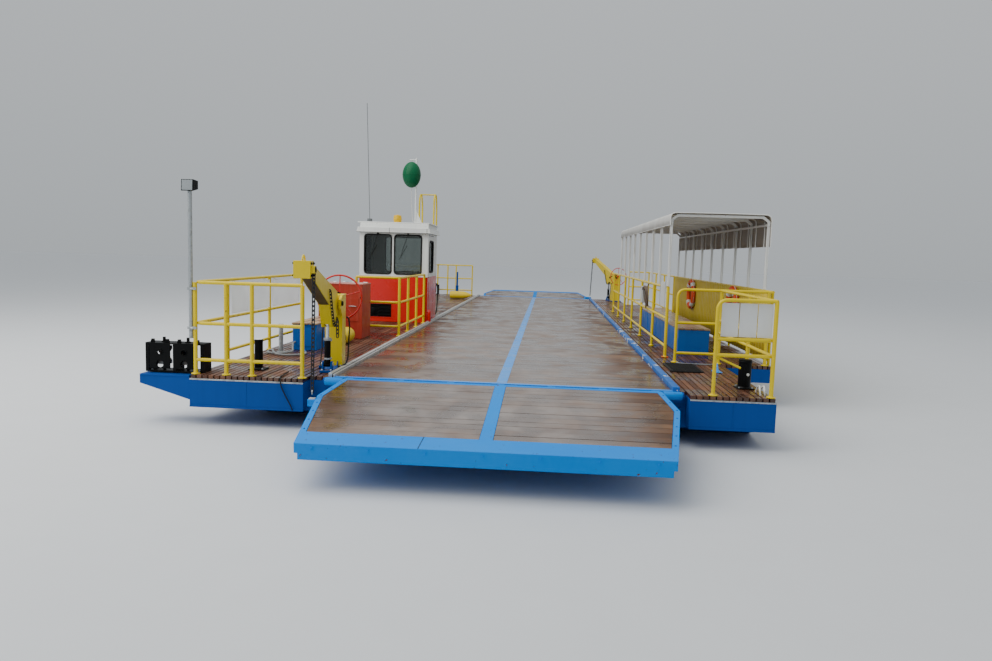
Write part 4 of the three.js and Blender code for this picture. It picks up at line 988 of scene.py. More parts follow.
@dataclass
class Hoist(AtEnd):
    """Ramp hoist: yellow column and boom, black cylinder, real chain links and a red hand wheel."""

    x: float
    swing: float  # degrees that the boom is turned towards the ramp
    lug: Span  # X and Y of the chain's lug on the ramp
    lift: float  # degrees that the boom stands above its near-end place
    ramp_lift: float
    pivot_y: float = 640.0
    pivot_z: float = 830.0
    width: float = 220.0
    front: float = 60.0
    back: float = 300.0
    height: float = 930.0
    head_y: float = -1640.0
    head_z: float = 1290.0
    foot: Span = (-310.0, 95.0)
    eye: Span = (-310.0, 610.0)
    chain_x: float = 112.0
    chain_y: float = -1590.0
    chain_drop: float = 48.0
    link: float = 62.0  # inner length of one chain link
    wire: float = 13.0
    wheel_y: float = 450.0
    wheel_z: float = 880.0
    wheel: float = 610.0
    barrel_top: float = 330.0
    clear: float = 70.0  # of the chain's end above its lug, with room for the shackle

    def place(self) -> Matrix:
        """Give the hoist's frame within the plan."""
        turn = Matrix.Rotation(math.radians(self.swing), 4, "Z")
        return plan.end(self.end) @ Matrix.Translation((self.x, self.pivot_y, 0)) @ turn

    def boom_place(self) -> Matrix:
        """Give the boom's frame, which is lifted about the pivot."""
        up = Matrix.Translation((0, 0, self.pivot_z))
        turn = Matrix.Rotation(math.radians(-self.lift), 4, "X")
        return self.place() @ up @ turn @ up.inverted()

    def build(self) -> None:
        """Dress the hoist's nodes and add its chain, wheel, hoses and fittings."""
        for stem, finish, soften in (("hoist_column", YELLOW, 4.0), ("hoist_boom", YELLOW, 4.0),
                                     ("hoist_cylinder", BLACK, 2.0), ("hoist_rod", CHROME, 1.0)):
            dress(self.tag(stem), finish, soften)
        self.foot_plates()
        self.column_fittings()
        self.boom_fittings()
        self.main_chain()
        self.spare_chain()
        self.hand_wheel()
        self.cylinder_fittings()
        self.hoses()

    def foot_plates(self) -> None:
        """Add the deep blue foot below the column and the cylinder."""
        foot = Shape(self.place())
        foot.box((-174, 129), (self.front - 64, self.back + 64), (0.5, 26))
        foot.box((-80, 80), (self.foot[0] - 80, self.front - 52), (0.5, 25))
        for side in SIDES:
            x = side * 52
            outline = [(self.foot[0] - 56, 15), (self.foot[0] + 56, 15),
                       (self.foot[0] + 31, self.foot[1] + 38), (self.foot[0] - 31, self.foot[1] + 38)]
            foot.prism(0, outline, (x - 9.5, x + 9.5))
        for gusset in ((-60, -50), (50, 60)):
            foot.prism(0, [(self.front - 50, 26), (self.front, 26), (self.front, 90)], gusset)
        foot.done(self.tag("hoist_foot"), HULL_BLUE, soften=3.0)
        bolts = Shape(self.place())
        places = [(x, y, 26) for x in (-145, 100) for y in (self.front - 38, self.back + 38)]
        places += [(x, self.foot[0] - 55, 25) for x in (-55, 55)]
        bolts.bolts(places, (0, 0, 1), 26)
        for side in SIDES:
            bolts.lathe((side * 62, *self.foot), (side, 0, 0), button(24, 18, -4, 10, 14), 20)
        bolts.done(self.tag("hoist_foot_bolts"), ZINC)

    def column_fittings(self) -> None:
        """Add pivot caps, the wheel's bearing flange, a top cap and a clamp strip for the hoses."""
        parts = Shape(self.place())
        half = self.width / 2
        for side in SIDES:
            parts.lathe((side * (half + 10), 0, self.pivot_z), (side, 0, 0),
                        button(32, 24, -8, 6, 12), 24)
        parts.lathe((0, self.back, self.wheel_z), (0, 1, 0),
                    [(78, 0), (78, 10), (50, 14), (50, 60), (0, 60)], 28)
        parts.done(self.tag("column_fittings"), BLACK, soften=1.5)
        cap = Shape(self.place())
        cap.box((-half - 6, half + 6), (self.front + 4, self.back + 6),
                (self.height - 4, self.height + 8))
        cap.box((-half - 3, -half + 2), (self.back - 60, self.back - 20), (120, 780))
        cap.done(self.tag("column_cap"), YELLOW, soften=3.0)

    def boom_fittings(self) -> None:
        """Add a dark brown strip of painted shade along the underside, the head's bolts, its black
        block and seams on the root plate.
        """
        body = self.tag("boom")
        # Painted shade: this dark brown strip under the boom stands for the shadow on its underside.
        under = Shape(self.boom_place())
        lower = [(self.head_y + 124, self.head_z - 64), (self.eye[0] - 230, self.pivot_z + 16)]
        upper = [(y, z + 9) for y, z in lower]
        under.prism(0, [lower[0], lower[1], upper[1], upper[0]], (-58, 58))
        under.done(self.tag("boom_grease"), BOOM_UNDERSIDE_SHADE, body, soften=2.0)
        head = Shape(self.boom_place())
        for side in (1, -1):
            head.bolts([(side * 91, self.head_y + y, self.head_z + z) for y in (15, 120)
                        for z in (-65, 62)], (side, 0, 0), 24)
        head.lathe((126, self.head_y + 50, self.head_z), (1, 0, 0),
                   button(34, 14, 0, 8, 12), 20)
        head.ring((112, self.head_y + 50, self.head_z - 47), (0, 1, 0), 30, 11, 20, 8)
        head.done(self.tag("boom_head_bolts"), BLACK, body)
        edge = Shape(self.boom_place())
        top = [(-62, self.pivot_z + 152), (self.head_y + 122, self.head_z + 72)]
        for side in SIDES:
            path = [(side * 62, y, z) for y, z in top]
            edge.tube(path, 9, sides=8)
        edge.done(self.tag("boom_edge_welds"), YELLOW, body)

    def chain_ends(self) -> tuple[Vector, Vector]:
        """Give the chain's upper and lower end in the hoist's frame."""
        top = lifted((self.chain_y, self.head_z - self.chain_drop), (0, self.pivot_z), self.lift)
        plate = (self.lug[1] + HINGE[0], -6.0)
        ramp = lifted(plate, HINGE, self.ramp_lift - NEAR_PITCH)
        flat = Vector((self.lug[0] - self.x, ramp[0] - self.pivot_y, ramp[1]))
        flat.rotate(Matrix.Rotation(math.radians(-self.swing), 3, "Z"))
        return Vector((self.chain_x, *top)), flat + Vector((0, 0, self.clear))

    def link_at(self, shape: Shape, centre: Vector, along: Vector, turned: bool) -> None:
        """Add one welded link around a centre, its long side along a direction."""
        run = along.normalized()
        side = run.cross(Vector((0, 1, 0) if turned else (1, 0, 0))).normalized()
        other = run.cross(side)
        wide = side if turned else other
        half = self.link / 2
        radius = self.wire * 0.95
        path = []
        for turn, sign in ((0, 1), (math.pi, -1)):
            for i in range(6):
                a = turn + math.pi * i / 5
                path.append(centre + run * sign * (half - radius) + radius
                            * (math.cos(a) * wide + math.sin(a) * run))
        path.append(path[0].copy())
        shape.tube(path, self.wire, sides=7, closed=True)

    def hang(self, name: str, body: str, place: Matrix, path: list[Vector]) -> None:
        """Hang links along a path of points, each turned a quarter to the one before."""
        chain = Shape(place)
        pitch = self.link - self.wire * 1.1
        spans = [(b - a).length for a, b in zip(path, path[1:])]
        total = sum(spans)
        count = max(2, round(total / pitch))
        for i in range(count):
            want = (i + 0.5) * total / count
            k = 0
            while k < len(spans) - 1 and want > spans[k]:
                want -= spans[k]
                k += 1
            run = path[k + 1] - path[k]
            self.link_at(chain, path[k] + run * (want / spans[k]), run, i % 2 == 0)
        chain.done(name, CHAIN_STEEL, body,
                   instead=[self.tag("hoist_chain")] if name.startswith("lift") else ())

    def main_chain(self) -> None:
        """Hang the lifting chain between the boom's head and the ramp's lug."""
        top, low = self.chain_ends()
        self.hang(self.tag("lift_chain"), self.tag("chain"), self.place(), [top, low])
        shackle = Shape(self.place())
        shackle.ring(low + Vector((0, 0, -2)), (1, 0.2, 0), 44, 14, 24, 8)
        shackle.done(self.tag("chain_shackle"), ZINC, self.tag("chain"),
                     instead=[self.tag("hoist_chain")])
        eye = Shape(Ramp(self.end, NEAR_PITCH - self.ramp_lift).place())
        eye.ring((self.lug[0], self.lug[1], 36), (1, 0, 0), 22, 8, 24, 8)
        eye.box((self.lug[0] - 34, self.lug[0] + 34), (self.lug[1] - 30, self.lug[1] + 30), (38, 46))
        eye.done(self.tag("chain_lug_eye"), PALE_STEEL, self.tag("ramp"), soften=2.0)

    def spare_chain(self) -> None:
        """Drape the safety chain along the boom's root, with its end hanging free."""
        start = Vector((76, -560, 1010))
        hook = Vector((76, -120, 640))
        slack = []
        for i in range(13):
            t = i / 12
            point = start.lerp(hook, t)
            point.z -= 260 * math.sin(math.pi * t) * (0.6 + 0.4 * t)
            slack.append(point)
        slack.append(hook + Vector((4, 22, -40)))
        slack.append(hook + Vector((4, 24, -230)))
        self.hang(self.tag("safety_chain"), self.tag("boom"), self.boom_place(), slack)
        eyes = Shape(self.boom_place())
        for point in (start, hook):
            eyes.ring(point + Vector((-6, 0, 6)), (0, 1, 0), 34, 10, 20, 8)
        eyes.done(self.tag("safety_chain_eyes"), BLACK, self.tag("boom"))

    def hand_wheel(self) -> None:
        """Build the thin red wheel with its spokes, hub and turning knob."""
        centre = Vector((0, self.wheel_y, self.wheel_z))
        wheel = Shape(self.place())
        wheel.ring(centre, (0, 1, 0), self.wheel - 24, 24, 56, 12)
        reach = self.wheel / 2 - 14
        for i in range(5):
            a = i / 5 * 2 * math.pi + 0.3
            out = Vector((math.cos(a), 0, math.sin(a)))
            wheel.tube([centre + out * 24, centre + out * reach], 14, sides=10)
        wheel.lathe(centre, (0, 1, 0), [(24, -45), (35, -38), (35, 18), (28, 30), (0, 30)], 24)
        wheel.done(self.tag("wheel_rim"), RED, self.tag("wheel"), soften=0.0,
                   instead=[self.tag("hand_wheel")])
        knob = Shape(self.place())
        knob.lathe(centre + Vector((reach * 0.96, 0, 0)), (0, 1, 0),
                   [(7, 8), (7, 24), (15, 30), (17, 70), (12, 82), (0, 84)], 16)
        knob.lathe(centre, (0, 1, 0), button(18, 10, 28, 40, 44), 6)
        knob.done(self.tag("wheel_knob"), BLACK, self.tag("wheel"),
                  instead=[self.tag("hand_wheel")])

    def cylinder_fittings(self) -> None:
        """Add the gland ring, the ports and the bands of the barrel."""
        eye = lifted(self.eye, (0, self.pivot_z), self.lift)
        start = Vector((0, *self.foot))
        run = (Vector((0, *eye)) - start).normalized()
        parts = Shape(self.place())
        gland = [(43, 296), (47, 300), (47, self.barrel_top - 2), (30, self.barrel_top + 3)]
        for profile in (gland, [(41, 60), (43, 62), (43, 80), (41, 82)]):
            parts.lathe(start, run, profile, 28)
        for along in (75.0, 300.0):
            place = start + run * along
            parts.lathe(place + Vector((36, 0, 0)), (1, 0, 0),
                        [(13, 0), (13, 16), (9, 18), (0, 22)], 6)
        parts.done(self.tag("cylinder_fittings"), ZINC, self.tag("cylinder"))

    def hoses(self) -> None:
        """Lead the pressure hose and the return hose from the column's sides down to the foot."""
        pressure = [(124, 240, 640), (160, 240, 628), (176, 232, 520), (168, 200, 300),
                    (172, 150, 120), (166, 60, 60), (150, -30, 44), (124, -90, 40), (92, -110, 38)]
        back = [(-124, 200, 560), (-152, 196, 552), (-168, 180, 430), (-160, 130, 210),
                (-158, 40, 70), (-140, -60, 42), (-110, -110, 38), (-88, -112, 36)]
        for stem, route, diameter in (("hoist_hose", pressure, 19.0), ("return_hose", back, 16.0)):
            points = [self.place() @ Vector(p) for p in route]
            lay_cord(self.tag(stem), points, diameter, RUBBER)


def lay_cord(name: str, points: Sequence[Point], diameter: float, finish: Finish) -> None:
    """Lay a free cord, hose or rope along points of the plan.

    Args:
        name: Name of the piece.
        points: Places that it passes, in plan millimetres.
        diameter: Its diameter in millimetres.
        finish: Its finish.
    """
    smooth = rounded(points, 4000, 5)
    path = [plan.matrix() @ p for p in smooth]
    curve = bpy.data.curves.new(name, "CURVE")
    curve.dimensions = "3D"
    curve.bevel_depth = diameter / 2 / MM
    curve.bevel_resolution = 4
    curve.use_fill_caps = True
    spline = curve.splines.new("POLY")
    spline.points.add(len(path) - 1)
    for point, place in zip(spline.points, path):
        point.co = (*place, 1.0)
    spline.use_smooth = True
    curve.materials.append(finish.material())
    obj = add_object(name, curve)
    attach(obj, "root")


@dataclass
class CableGuide(AtEnd):
    """Black cable guide on its arm, with top lugs, bolts and cast sheaves."""

    sheaves: tuple[float, float] = (-4060.0, -3765.0)
    left: float = -4235.0
    right: float = -3525.0
    top: float = 346.0
    out: float = 150.0
    inside: float = -60.0

    def build(self) -> None:
        """Dress the guide and its sheaves and add the fittings."""
        dress(self.tag("cable_guide"), BLACK, 3.0)
        for i in (1, 2):
            dress(f"{self.tag('cable_sheave')}_{i}", SHEAVE_STEEL, 2.5)
        base, out = plan.edge(self.end)
        parts = Shape()
        for x in (self.left + 70, -3985, -3840, self.right - 90):
            y = sorted((base + out * (self.out - 30), base + out * (self.out - 62)))
            parts.prism(1, [(x - 22, self.top), (x + 22, self.top), (x + 14, self.top + 42),
                            (x - 14, self.top + 42)], (y[0], y[1]))
        for x in self.sheaves:
            y = base + out * (self.inside + self.out - 14) / 2
            parts.lathe((x, y, self.top), (0, 0, 1), [(34, -1), (34, 8), (26, 12), (18.6, 12)], 24)
            ring_y = base + out * (self.out + 2)
            parts.ring((x, ring_y, 235), (0, out, 0), 72, 11, 32, 8)
        parts.done(self.tag("guide_lugs"), BLACK, soften=2.0)
        bolts = Shape()
        places = [(x, base + out * y, 16) for x in (self.left + 60, self.right - 60)
                  for y in (self.inside + 30, self.out - 40)]
        bolts.bolts(places, (0, 0, 1), 24)
        bolts.done(self.tag("guide_bolts"), ZINC)


# Railings

@dataclass
class Railings:
    """Yellow tube railings with bent corners and foot flanges, and the blank boards on them."""

    post: float = 48.0
    rail: float = 42.0
    top: float = 1079.0
    mid: float = 600.0
    low: float = 170.0
    bend: float = 120.0
    side: float = -3600.0
    nose: float = 190.0
    inner_x: float = 2350.0
    cross: float = 2497.0

    def build(self) -> None:
        """Build every railing and the boards."""
        self.left(End.NEAR)
        self.left(End.FAR)
        self.right_near()
        self.right_far()
        self.inner()
        self.cabin()
        self.boards()
        self.hung_gear()

    def rails(self, node: str, posts: Sequence[Point], lines: Sequence[Sequence[Point]],
              height: float = 1100.0) -> None:
        """Build one railing in place of its CAD node.

        Args:
            node: The CAD node, whose name the piece also takes.
            posts: X and Y of each upright post.
            lines: Corners of each rail.
            height: Top of the posts.
        """
        tubes = Shape()
        feet = Shape()
        for x, y in posts:
            tubes.tube([(x, y, 0.5), (x, y, height - self.rail / 2)], self.post, sides=18)
        for line in lines:
            tubes.tube(line, self.rail, bend=self.bend, sides=18)
            if line[0][2] < 1:
                posts = [*posts, (line[0][0], line[0][1])]
        for x, y in posts:
            feet.lathe((x, y, 0), (0, 0, 1),
                       [(52, 0.5), (52, 10), (30, 13), (26, 26), (24.5, 26)], 20)
        name = node.replace("railing", "rail_tubes")
        tubes.done(name, YELLOW, instead=[node])
        feet.done(name.replace("tubes", "feet"), YELLOW, soften=1.5, instead=[node])

    def left(self, end: End) -> None:
        """Build a left railing: across the nose and back along the side."""
        base, out = plan.edge(end)
        y = base + out * self.nose
        back = [base - out * v for v in (700, 2150, 3600)]
        inner = -2320.0
        posts = [(inner, y), (-2920, y), (-3230, y), (self.side, y)]
        posts += [(self.side, v) for v in back]
        lines = [[(inner, y, self.low), (self.side, y, self.low)],
                 [(self.side, back[0], self.low), (self.side, back[2], self.low)]]
        lines += [[(inner, y, z), (self.side, y, z), (self.side, back[2], z)]
                  for z in (self.mid, self.top)]
        self.rails(f"railing_left_{end.value}", posts, lines)

    def right_near(self) -> None:
        """Build the near right railing with its two bent frames."""
        y = -self.nose
        x = 3040.0
        posts = [(x, y), (x, 900), (x, self.cross), (3715, self.cross)]
        lines = [[(2400, y, 0.5), (2400, y, self.top), (x, y, self.top)],
                 [(x, y, self.top), (x, self.cross, self.top)],
                 [(2410, self.cross, 0.5), (2410, self.cross, self.top), (3715, self.cross, self.top)]]
        for z in (460, 640):
            lines.append([(2400, y, z), (x, y, z), (x, self.cross, z)])
        lines += [[(2410, self.cross, z), (3715, self.cross, z)] for z in (140, 590)]
        self.rails("railing_right_near", posts, lines)

    def right_far(self) -> None:
        """Build the far right railing along the wide side and across to the hoist."""
        x = 3780.0
        first = 11270.0
        last = plan.length - 2500
        posts = [(3140, last)] + [(x, first + i / 3 * (last - first)) for i in range(4)]
        lines = [[(x, first, z), (x, last, z), (3140, last, z)] for z in (self.low, self.mid, self.top)]
        self.rails("railing_right_far", posts, lines)

    def inner(self) -> None:
        """Build the railing between the roadway and the passengers."""
        places = [3050, 4600, 6290, 7940, 9560, 11120, 12680]
        lines = [[(self.inner_x, places[0], z), (self.inner_x, places[-1], z)]
                 for z in (self.low, self.mid, self.top)]
        self.rails("railing_inner", [(self.inner_x, y) for y in places], lines)

    def cabin(self) -> None:
        """Build the railing in front of the cabin and beside the roadway."""
        y = 4560.0
        x = -2140.0
        last = 7200.0
        posts = [(-2920, y), (x, y), (x, 5400), (x, 6300), (x, last)]
        lines = [[(-2920, y, z), (x, y, z), (x, last, z)] for z in (self.low, self.mid, 1039)]
        self.rails("railing_cabin", posts, lines, 1060.0)

    def boards(self) -> None:
        """Hang the blank sheets on the left side and right front, and the blank notice board."""
        white = Shape()
        for y in ((770, 2085), (2215, 3375)):
            white.box((-3578, -3573), y, (640, 1040))
        white.box((2320, 2325), (3090, 3690), (770, 1160))
        white.done("blank_boards_left", BLANK_SHEET, soften=1.0)
        front = Shape()
        for x in ((2452, 2640), (2650, 2842), (2852, 3012)):
            front.box(x, (-164, -159), (668, 1046))
        front.done("blank_boards_right", BLANK_SHEET, soften=1.0)
        straps = Shape()
        for y in (900, 1950, 2350, 3240):
            straps.tube([(-3586, y, 1036), (-3618, y, 1108), (-3640, y, 1079), (-3584, y, 1020)], 7, 20,
                        sides=8)
        for y in (3130, 3650):
            straps.box((2316, 2330), (y, y + 12), (764, 1166))
        straps.done("board_straps", ZINC)

    def hung_gear(self) -> None:
        """Hang the spare rope coil and the gear box on the inner railing."""
        coil = Shape()
        for i in range(6):
            middle = (2312 - 9 * (i % 3), 5160 + 34 * i, 850 - 11 * (i % 2))
            coil.ring(middle, (1, 0.1 * (i % 3 - 1), 0.05 * i), 360 - 18 * (i % 3), 20, 40, 8)
        coil.tube([(2322, 5120, 1060), (2300, 5200, 980), (2296, 5240, 690), (2318, 5330, 610)], 20, 60,
                  sides=10)
        coil.done("spare_rope_coil", BROWN_ROPE)
        chest = Shape()
        chest.box((2250, 2322), (5440, 5640), (700, 980))
        chest.box((2246, 2326), (5434, 5646), (980, 1000))
        chest.done("gear_box", BLANK_GREY, soften=8.0)


# Cabin and engine

@dataclass
class Cabin:
    """Steering cabin: red and white enamel, rubber-framed panes, door, console and roof gear."""

    left: float = -3560.0
    right: float = -2075.0
    front: float = 7250.0
    back: float = 8450.0
    wall: float = 40.0
    base: float = 985.0
    eave: float = 1900.0
    roof: float = 2130.0
    door: Span = (7338.0, 8022.0)
    front_pane: Span = (1030.0, 1860.0)  # sill and head of each opening
    side_pane: Span = (1050.0, 1840.0)
    door_pane: Span = (1080.0, 1750.0)
    mast_x: float = -2470.0

    def build(self) -> None:
        """Dress the cabin's nodes and add everything fixed to them."""
        for node, finish in (("cabin_base", RED), ("cabin_walls", WHITE), ("cabin_roof", WHITE),
                             ("cabin_console", GREY), ("beacon", AMBER), ("antenna", WHIP)):
            dress(node, finish, 4.0 if node.startswith("cabin") else 1.0)
        dress("cabin_front_glass", GLASS, 0.0)
        self.windows()
        self.door_leaf()
        self.recess()
        self.seams()
        self.controls()
        self.mast()
        self.ladder()
        self.housing()

    def windows(self) -> None:
        """Frame each window with rounded rubber and set the side and rear panes."""
        rubber = Shape()
        panes = Shape()
        front = self.front - 2
        for x in ((self.left + 110, self.left + 690), (self.left + 760, self.left + 1340)):
            self.gasket(rubber, lambda a, b: (a, front, b), x, self.front_pane)
        y = (self.front + 200, self.back - 200)
        pane_z = (self.side_pane[0] - 4, self.side_pane[1] + 4)
        self.gasket(rubber, lambda a, b: (self.left - 2, a, b), y, self.side_pane)
        panes.box((self.left + 18, self.left + 24), (y[0] - 4, y[1] + 4), pane_z)
        x = (self.left + 300, self.right - 300)
        self.gasket(rubber, lambda a, b: (a, self.back + 2, b), x, self.side_pane)
        panes.box((x[0] - 4, x[1] + 4), (self.back - 24, self.back - 18), pane_z)
        rubber.done("window_gaskets", RUBBER)
        panes.done("cabin_side_panes", GLASS)
        door = Shape()
        door.box((self.right - 22, self.right - 16), (self.door[0] + 98, self.door[1] - 98),
                 (self.door_pane[0] - 4, self.door_pane[1] + 4))
        door.done("door_pane", GLASS, "door")
        wiper = Shape()
        for x in (self.left + 400, self.left + 1050):
            wiper.tube([(x, front - 14, 1885), (x - 60, front - 18, 1700),
                        (x - 150, front - 12, 1420)], 9, sides=8)
            wiper.tube([(x - 20, front - 10, 1640), (x - 190, front - 8, 1330)], 11, sides=8)
            wiper.lathe((x, front + 4, 1885), (0, -1, 0), button(20, 12, 0, 16, 24), 16)
        wiper.done("window_wipers", RUBBER)

    def gasket(self, shape: Shape, at: Callable[[float, float], Point], along: Span,
               up: Span) -> None:
        """Lay a rubber tube around a window's rounded outline; at places its flat points."""
        corner = 70.0
        path = []
        left, right = along[0] + corner, along[1] - corner
        low, high = up[0] + corner, up[1] - corner
        centres = [(right, high, 0), (left, high, 90), (left, low, 180), (right, low, 270)]
        for a, b, start in centres:
            for i in range(7):
                turn = math.radians(start + 15 * i)
                path.append(Vector(at(a + corner * math.cos(turn), b + corner * math.sin(turn))))
        path.append(path[0].copy())
        shape.tube(path, 34, sides=10, closed=True)

    def door_leaf(self) -> None:
        """Build the door, red below and white above, with a rubber seal round its pane and a lever
        handle.
        """
        x = (self.right - self.wall + 4, self.right - 2)
        lower = Shape()
        lower.box(x, self.door, (72, self.base - 1))
        lower.box((self.right - 2, self.right + 3), (self.door[0] + 70, self.door[1] - 70),
                  (150, 880))
        lower.done("door_lower_leaf", RED, "door", soften=4.0, instead=["cabin_door"])
        upper = Shape()
        y0, y1 = self.door
        sill, head = self.door_pane
        for y, z in ((self.door, (self.base + 1, sill)), (self.door, (head, 1860)),
                     ((y0, y0 + 102), (sill - 2, head + 2)), ((y1 - 102, y1), (sill - 2, head + 2))):
            upper.box(x, y, z)
        upper.done("door_upper_leaf", WHITE, "door", soften=4.0, instead=["cabin_door"])
        seal = Shape()
        self.gasket(seal, lambda a, b: (self.right, a, b), (y0 + 102, y1 - 102), self.door_pane)
        seal.done("door_gasket", RUBBER, "door", instead=["cabin_door"])
        metal = Shape()
        metal.tube([(self.right - 2, y0 + 60, 990), (self.right + 30, y0 + 60, 990),
                    (self.right + 34, y0 + 180, 985)], 16, 20, sides=10)
        metal.lathe((self.right - 3, y0 + 60, 990), (1, 0, 0), button(30, 20, 0, 8, 12), 20)
        metal.done("door_handle", CHROME, "door", instead=["cabin_door"])

    def recess(self) -> None:
        """Fill the vent opening with a black back plate of painted shade, four pipes and a round cover,
        and frame it.
        """
        frame_bars = Shape()
        x = (self.left + 160, self.left + 720)
        y = (self.front - 6, self.front + 8)
        z = (90.0, 390.0)
        for level in z:
            frame_bars.box((x[0] - 16, x[1] + 16), y, (level - 9, level + 9))
        for side in x:
            frame_bars.box((side - 9, side + 9), y, z)
        frame_bars.done("vent_frame", RED, soften=2.0)
        inside = Shape()
        # Painted shade: the black plate at the back stands for the dark depth of the recess.
        inside.box((x[0] - 4, x[1] + 4), (self.front + 34, self.front + 40), (z[0] - 4, z[1] + 4))
        for i in range(4):
            level = z[0] + 30 + i * 70
            route = ((x[0] + 4, level), (x[0] + 260, level), (x[0] + 300, level + 26),
                     (x[1] - 4, level + 26))
            inside.tube([(a, self.front + 20, b) for a, b in route], 20, 30, sides=10)
        inside.lathe((x[0] + 150, self.front + 28, 220), (0, -1, 0),
                     [(80, 0), (80, 14), (60, 20), (0, 22)], 24)
        inside.done("vent_machinery_and_shade_plate", BLACK)

    def seams(self) -> None:
        """Add the visor's seams, the belt between red and white, gutters and grab rail."""
        seams = Shape()
        y = self.front - 92
        for x in (self.left + 660, self.right - 20):
            seams.box((x - 4, x + 4), (y, y + 6), (self.eave + 2, self.eave + 108))
        seams.box((self.left - 46, self.right + 56), (y - 2, y + 4), (self.eave + 1, self.eave + 9))
        seams.done("visor_seams", BLACK, soften=1.0)
        belt = Shape()
        for x0, x1, y0, y1 in ((self.left - 5, self.right + 5, self.front - 6, self.front + 4),
                               (self.left - 5, self.right + 5, self.back - 4, self.back + 6),
                               (self.left - 6, self.left + 4, self.front, self.back)):
            belt.box((x0, x1), (y0, y1), (self.base - 10, self.base + 12))
        belt.done("cabin_belt", WHITE, soften=3.0)
        rim = Shape()
        ahead = (self.front - 60, self.roof - 16)
        behind = (self.back + 30, self.roof - 30)
        corners = [(self.left - 20, *ahead), (self.right + 24, *ahead), (self.right + 24, *behind),
                   (self.left - 20, *behind), (self.left - 20, *ahead)]
        rim.tube(corners, 22, 60, sides=10)
        rim.done("roof_rail", WHITE)
        cowl = Shape()
        cowl.lathe((self.right + 42, self.front + 30, 30), (0, 0, 1),
                   [(36, 0), (40, 20), (40, 190), (34, 232), (18, 252), (0, 256)], 24)
        cowl.done("cabin_corner_cowl", RED, soften=1.0)

    def controls(self) -> None:
        """Put a small wheel, levers and blank gauges on the console."""
        parts = Shape()
        centre = Vector((-2820, self.front + 380, 860))
        tilt = Vector((0, 1, 0.35))
        parts.ring(centre, tilt, 380, 24, 40, 10)
        for i in range(3):
            a = 2 * math.pi * i / 3 + 0.5
            side = Vector((math.cos(a), 0, math.sin(a)))
            parts.tube([centre, centre + side * 182], 14, sides=8)
        parts.tube([centre, (-2820, self.front + 290, 820)], 40, sides=12)
        for x in (-3120, -3060, -2560):
            parts.tube([(x, self.front + 250, 860), (x, self.front + 270, 985)], 12, sides=8)
            parts.lathe((x, self.front + 270, 985), (0, 0.1, 1),
                        [(10, 0), (18, 8), (18, 24), (8, 34), (0, 35)], 14)
        parts.done("console_controls", RUBBER)
        dials = Shape()
        for x in (-3180, -3040, -2900, -2640):
            dials.lathe((x, self.front + 150, 888), (0, 0.42, 0.9), button(42, 36, -8, 6, 10), 24)
        dials.done("console_dials", BLANK)

    def mast(self) -> None:
        """Build the white mast with its gusset, yard and rope, and the green oval mark."""
        x = self.mast_x
        y = 7850.0
        base = self.roof + 0.3
        mark_at = (x - 100, y - 10, 3190)
        mast = Shape()
        mast.tube([(x, y, base), (x, y, 3549)], 42, sides=18)
        mast.box((x - 70, x + 70), (y - 70, y + 70), (base, base + 10))
        gusset = [(x - 5, base + 5), (x + 150, base + 5), (x + 12, base + 300), (x - 5, base + 300)]
        mast.prism(1, gusset, (y - 5, y + 5))
        mast.tube([(x - 5, y, 3510), (x - 150, y - 10, 3510)], 22, sides=10)
        mast.done("mast_tube", WHITE, soften=2.0, instead=["signal_mast"])
        mark = Shape()
        steps = [math.pi * i / 20 for i in range(21)]
        mark.lathe(mark_at, (0, 0, 1), [(200 * math.sin(a), -280 * math.cos(a)) for a in steps], 32)
        mark.ring(mark_at, (0, 0, 1), 398, 12, 40, 8)
        mark.done("day_mark", GREEN, instead=["signal_mast"])
        line = Shape()
        line.tube([(x - 100, y - 10, 3466), (x - 100, y - 10, 3508)], 9, sides=8)
        line.tube([(x - 100, y - 10, 2914), (x - 96, y - 12, 2600), (x - 60, y - 8, base + 60)], 9,
                  200, sides=8)
        line.tube([(x - 62, y - 8, base + 62), (x - 20, y, base + 40)], 12, sides=8)
        line.done("mark_line", ROPE, instead=["signal_mast"])

    def ladder(self) -> None:
        """Build the roof ladder with its curved handrails."""
        y0 = 8150.0
        y1 = 8560.0
        ladder = Shape()
        for x in (-2440, -2112):
            ladder.tube([(x, y1, 0.5), (x, y1, 2560), (x, y1 - 120, 2800), (x, y1 - 260, 2812),
                         (x, y0 + 20, 2690), (x, y0, self.roof + 4)], 36, 110, sides=14)
            ladder.lathe((x, y1, 0), (0, 0, 1), [(44, 0.5), (44, 9), (22, 12), (18, 24)], 18)
        for z in range(300, 2150, 300):
            ladder.tube([(-2440, y1, z), (-2112, y1, z)], 28, sides=12)
        ladder.tube([(-2440, y1 - 190, 2806), (-2112, y1 - 190, 2806)], 28, sides=12)
        ladder.done("ladder_tubes", YELLOW, instead=["roof_ladder"])

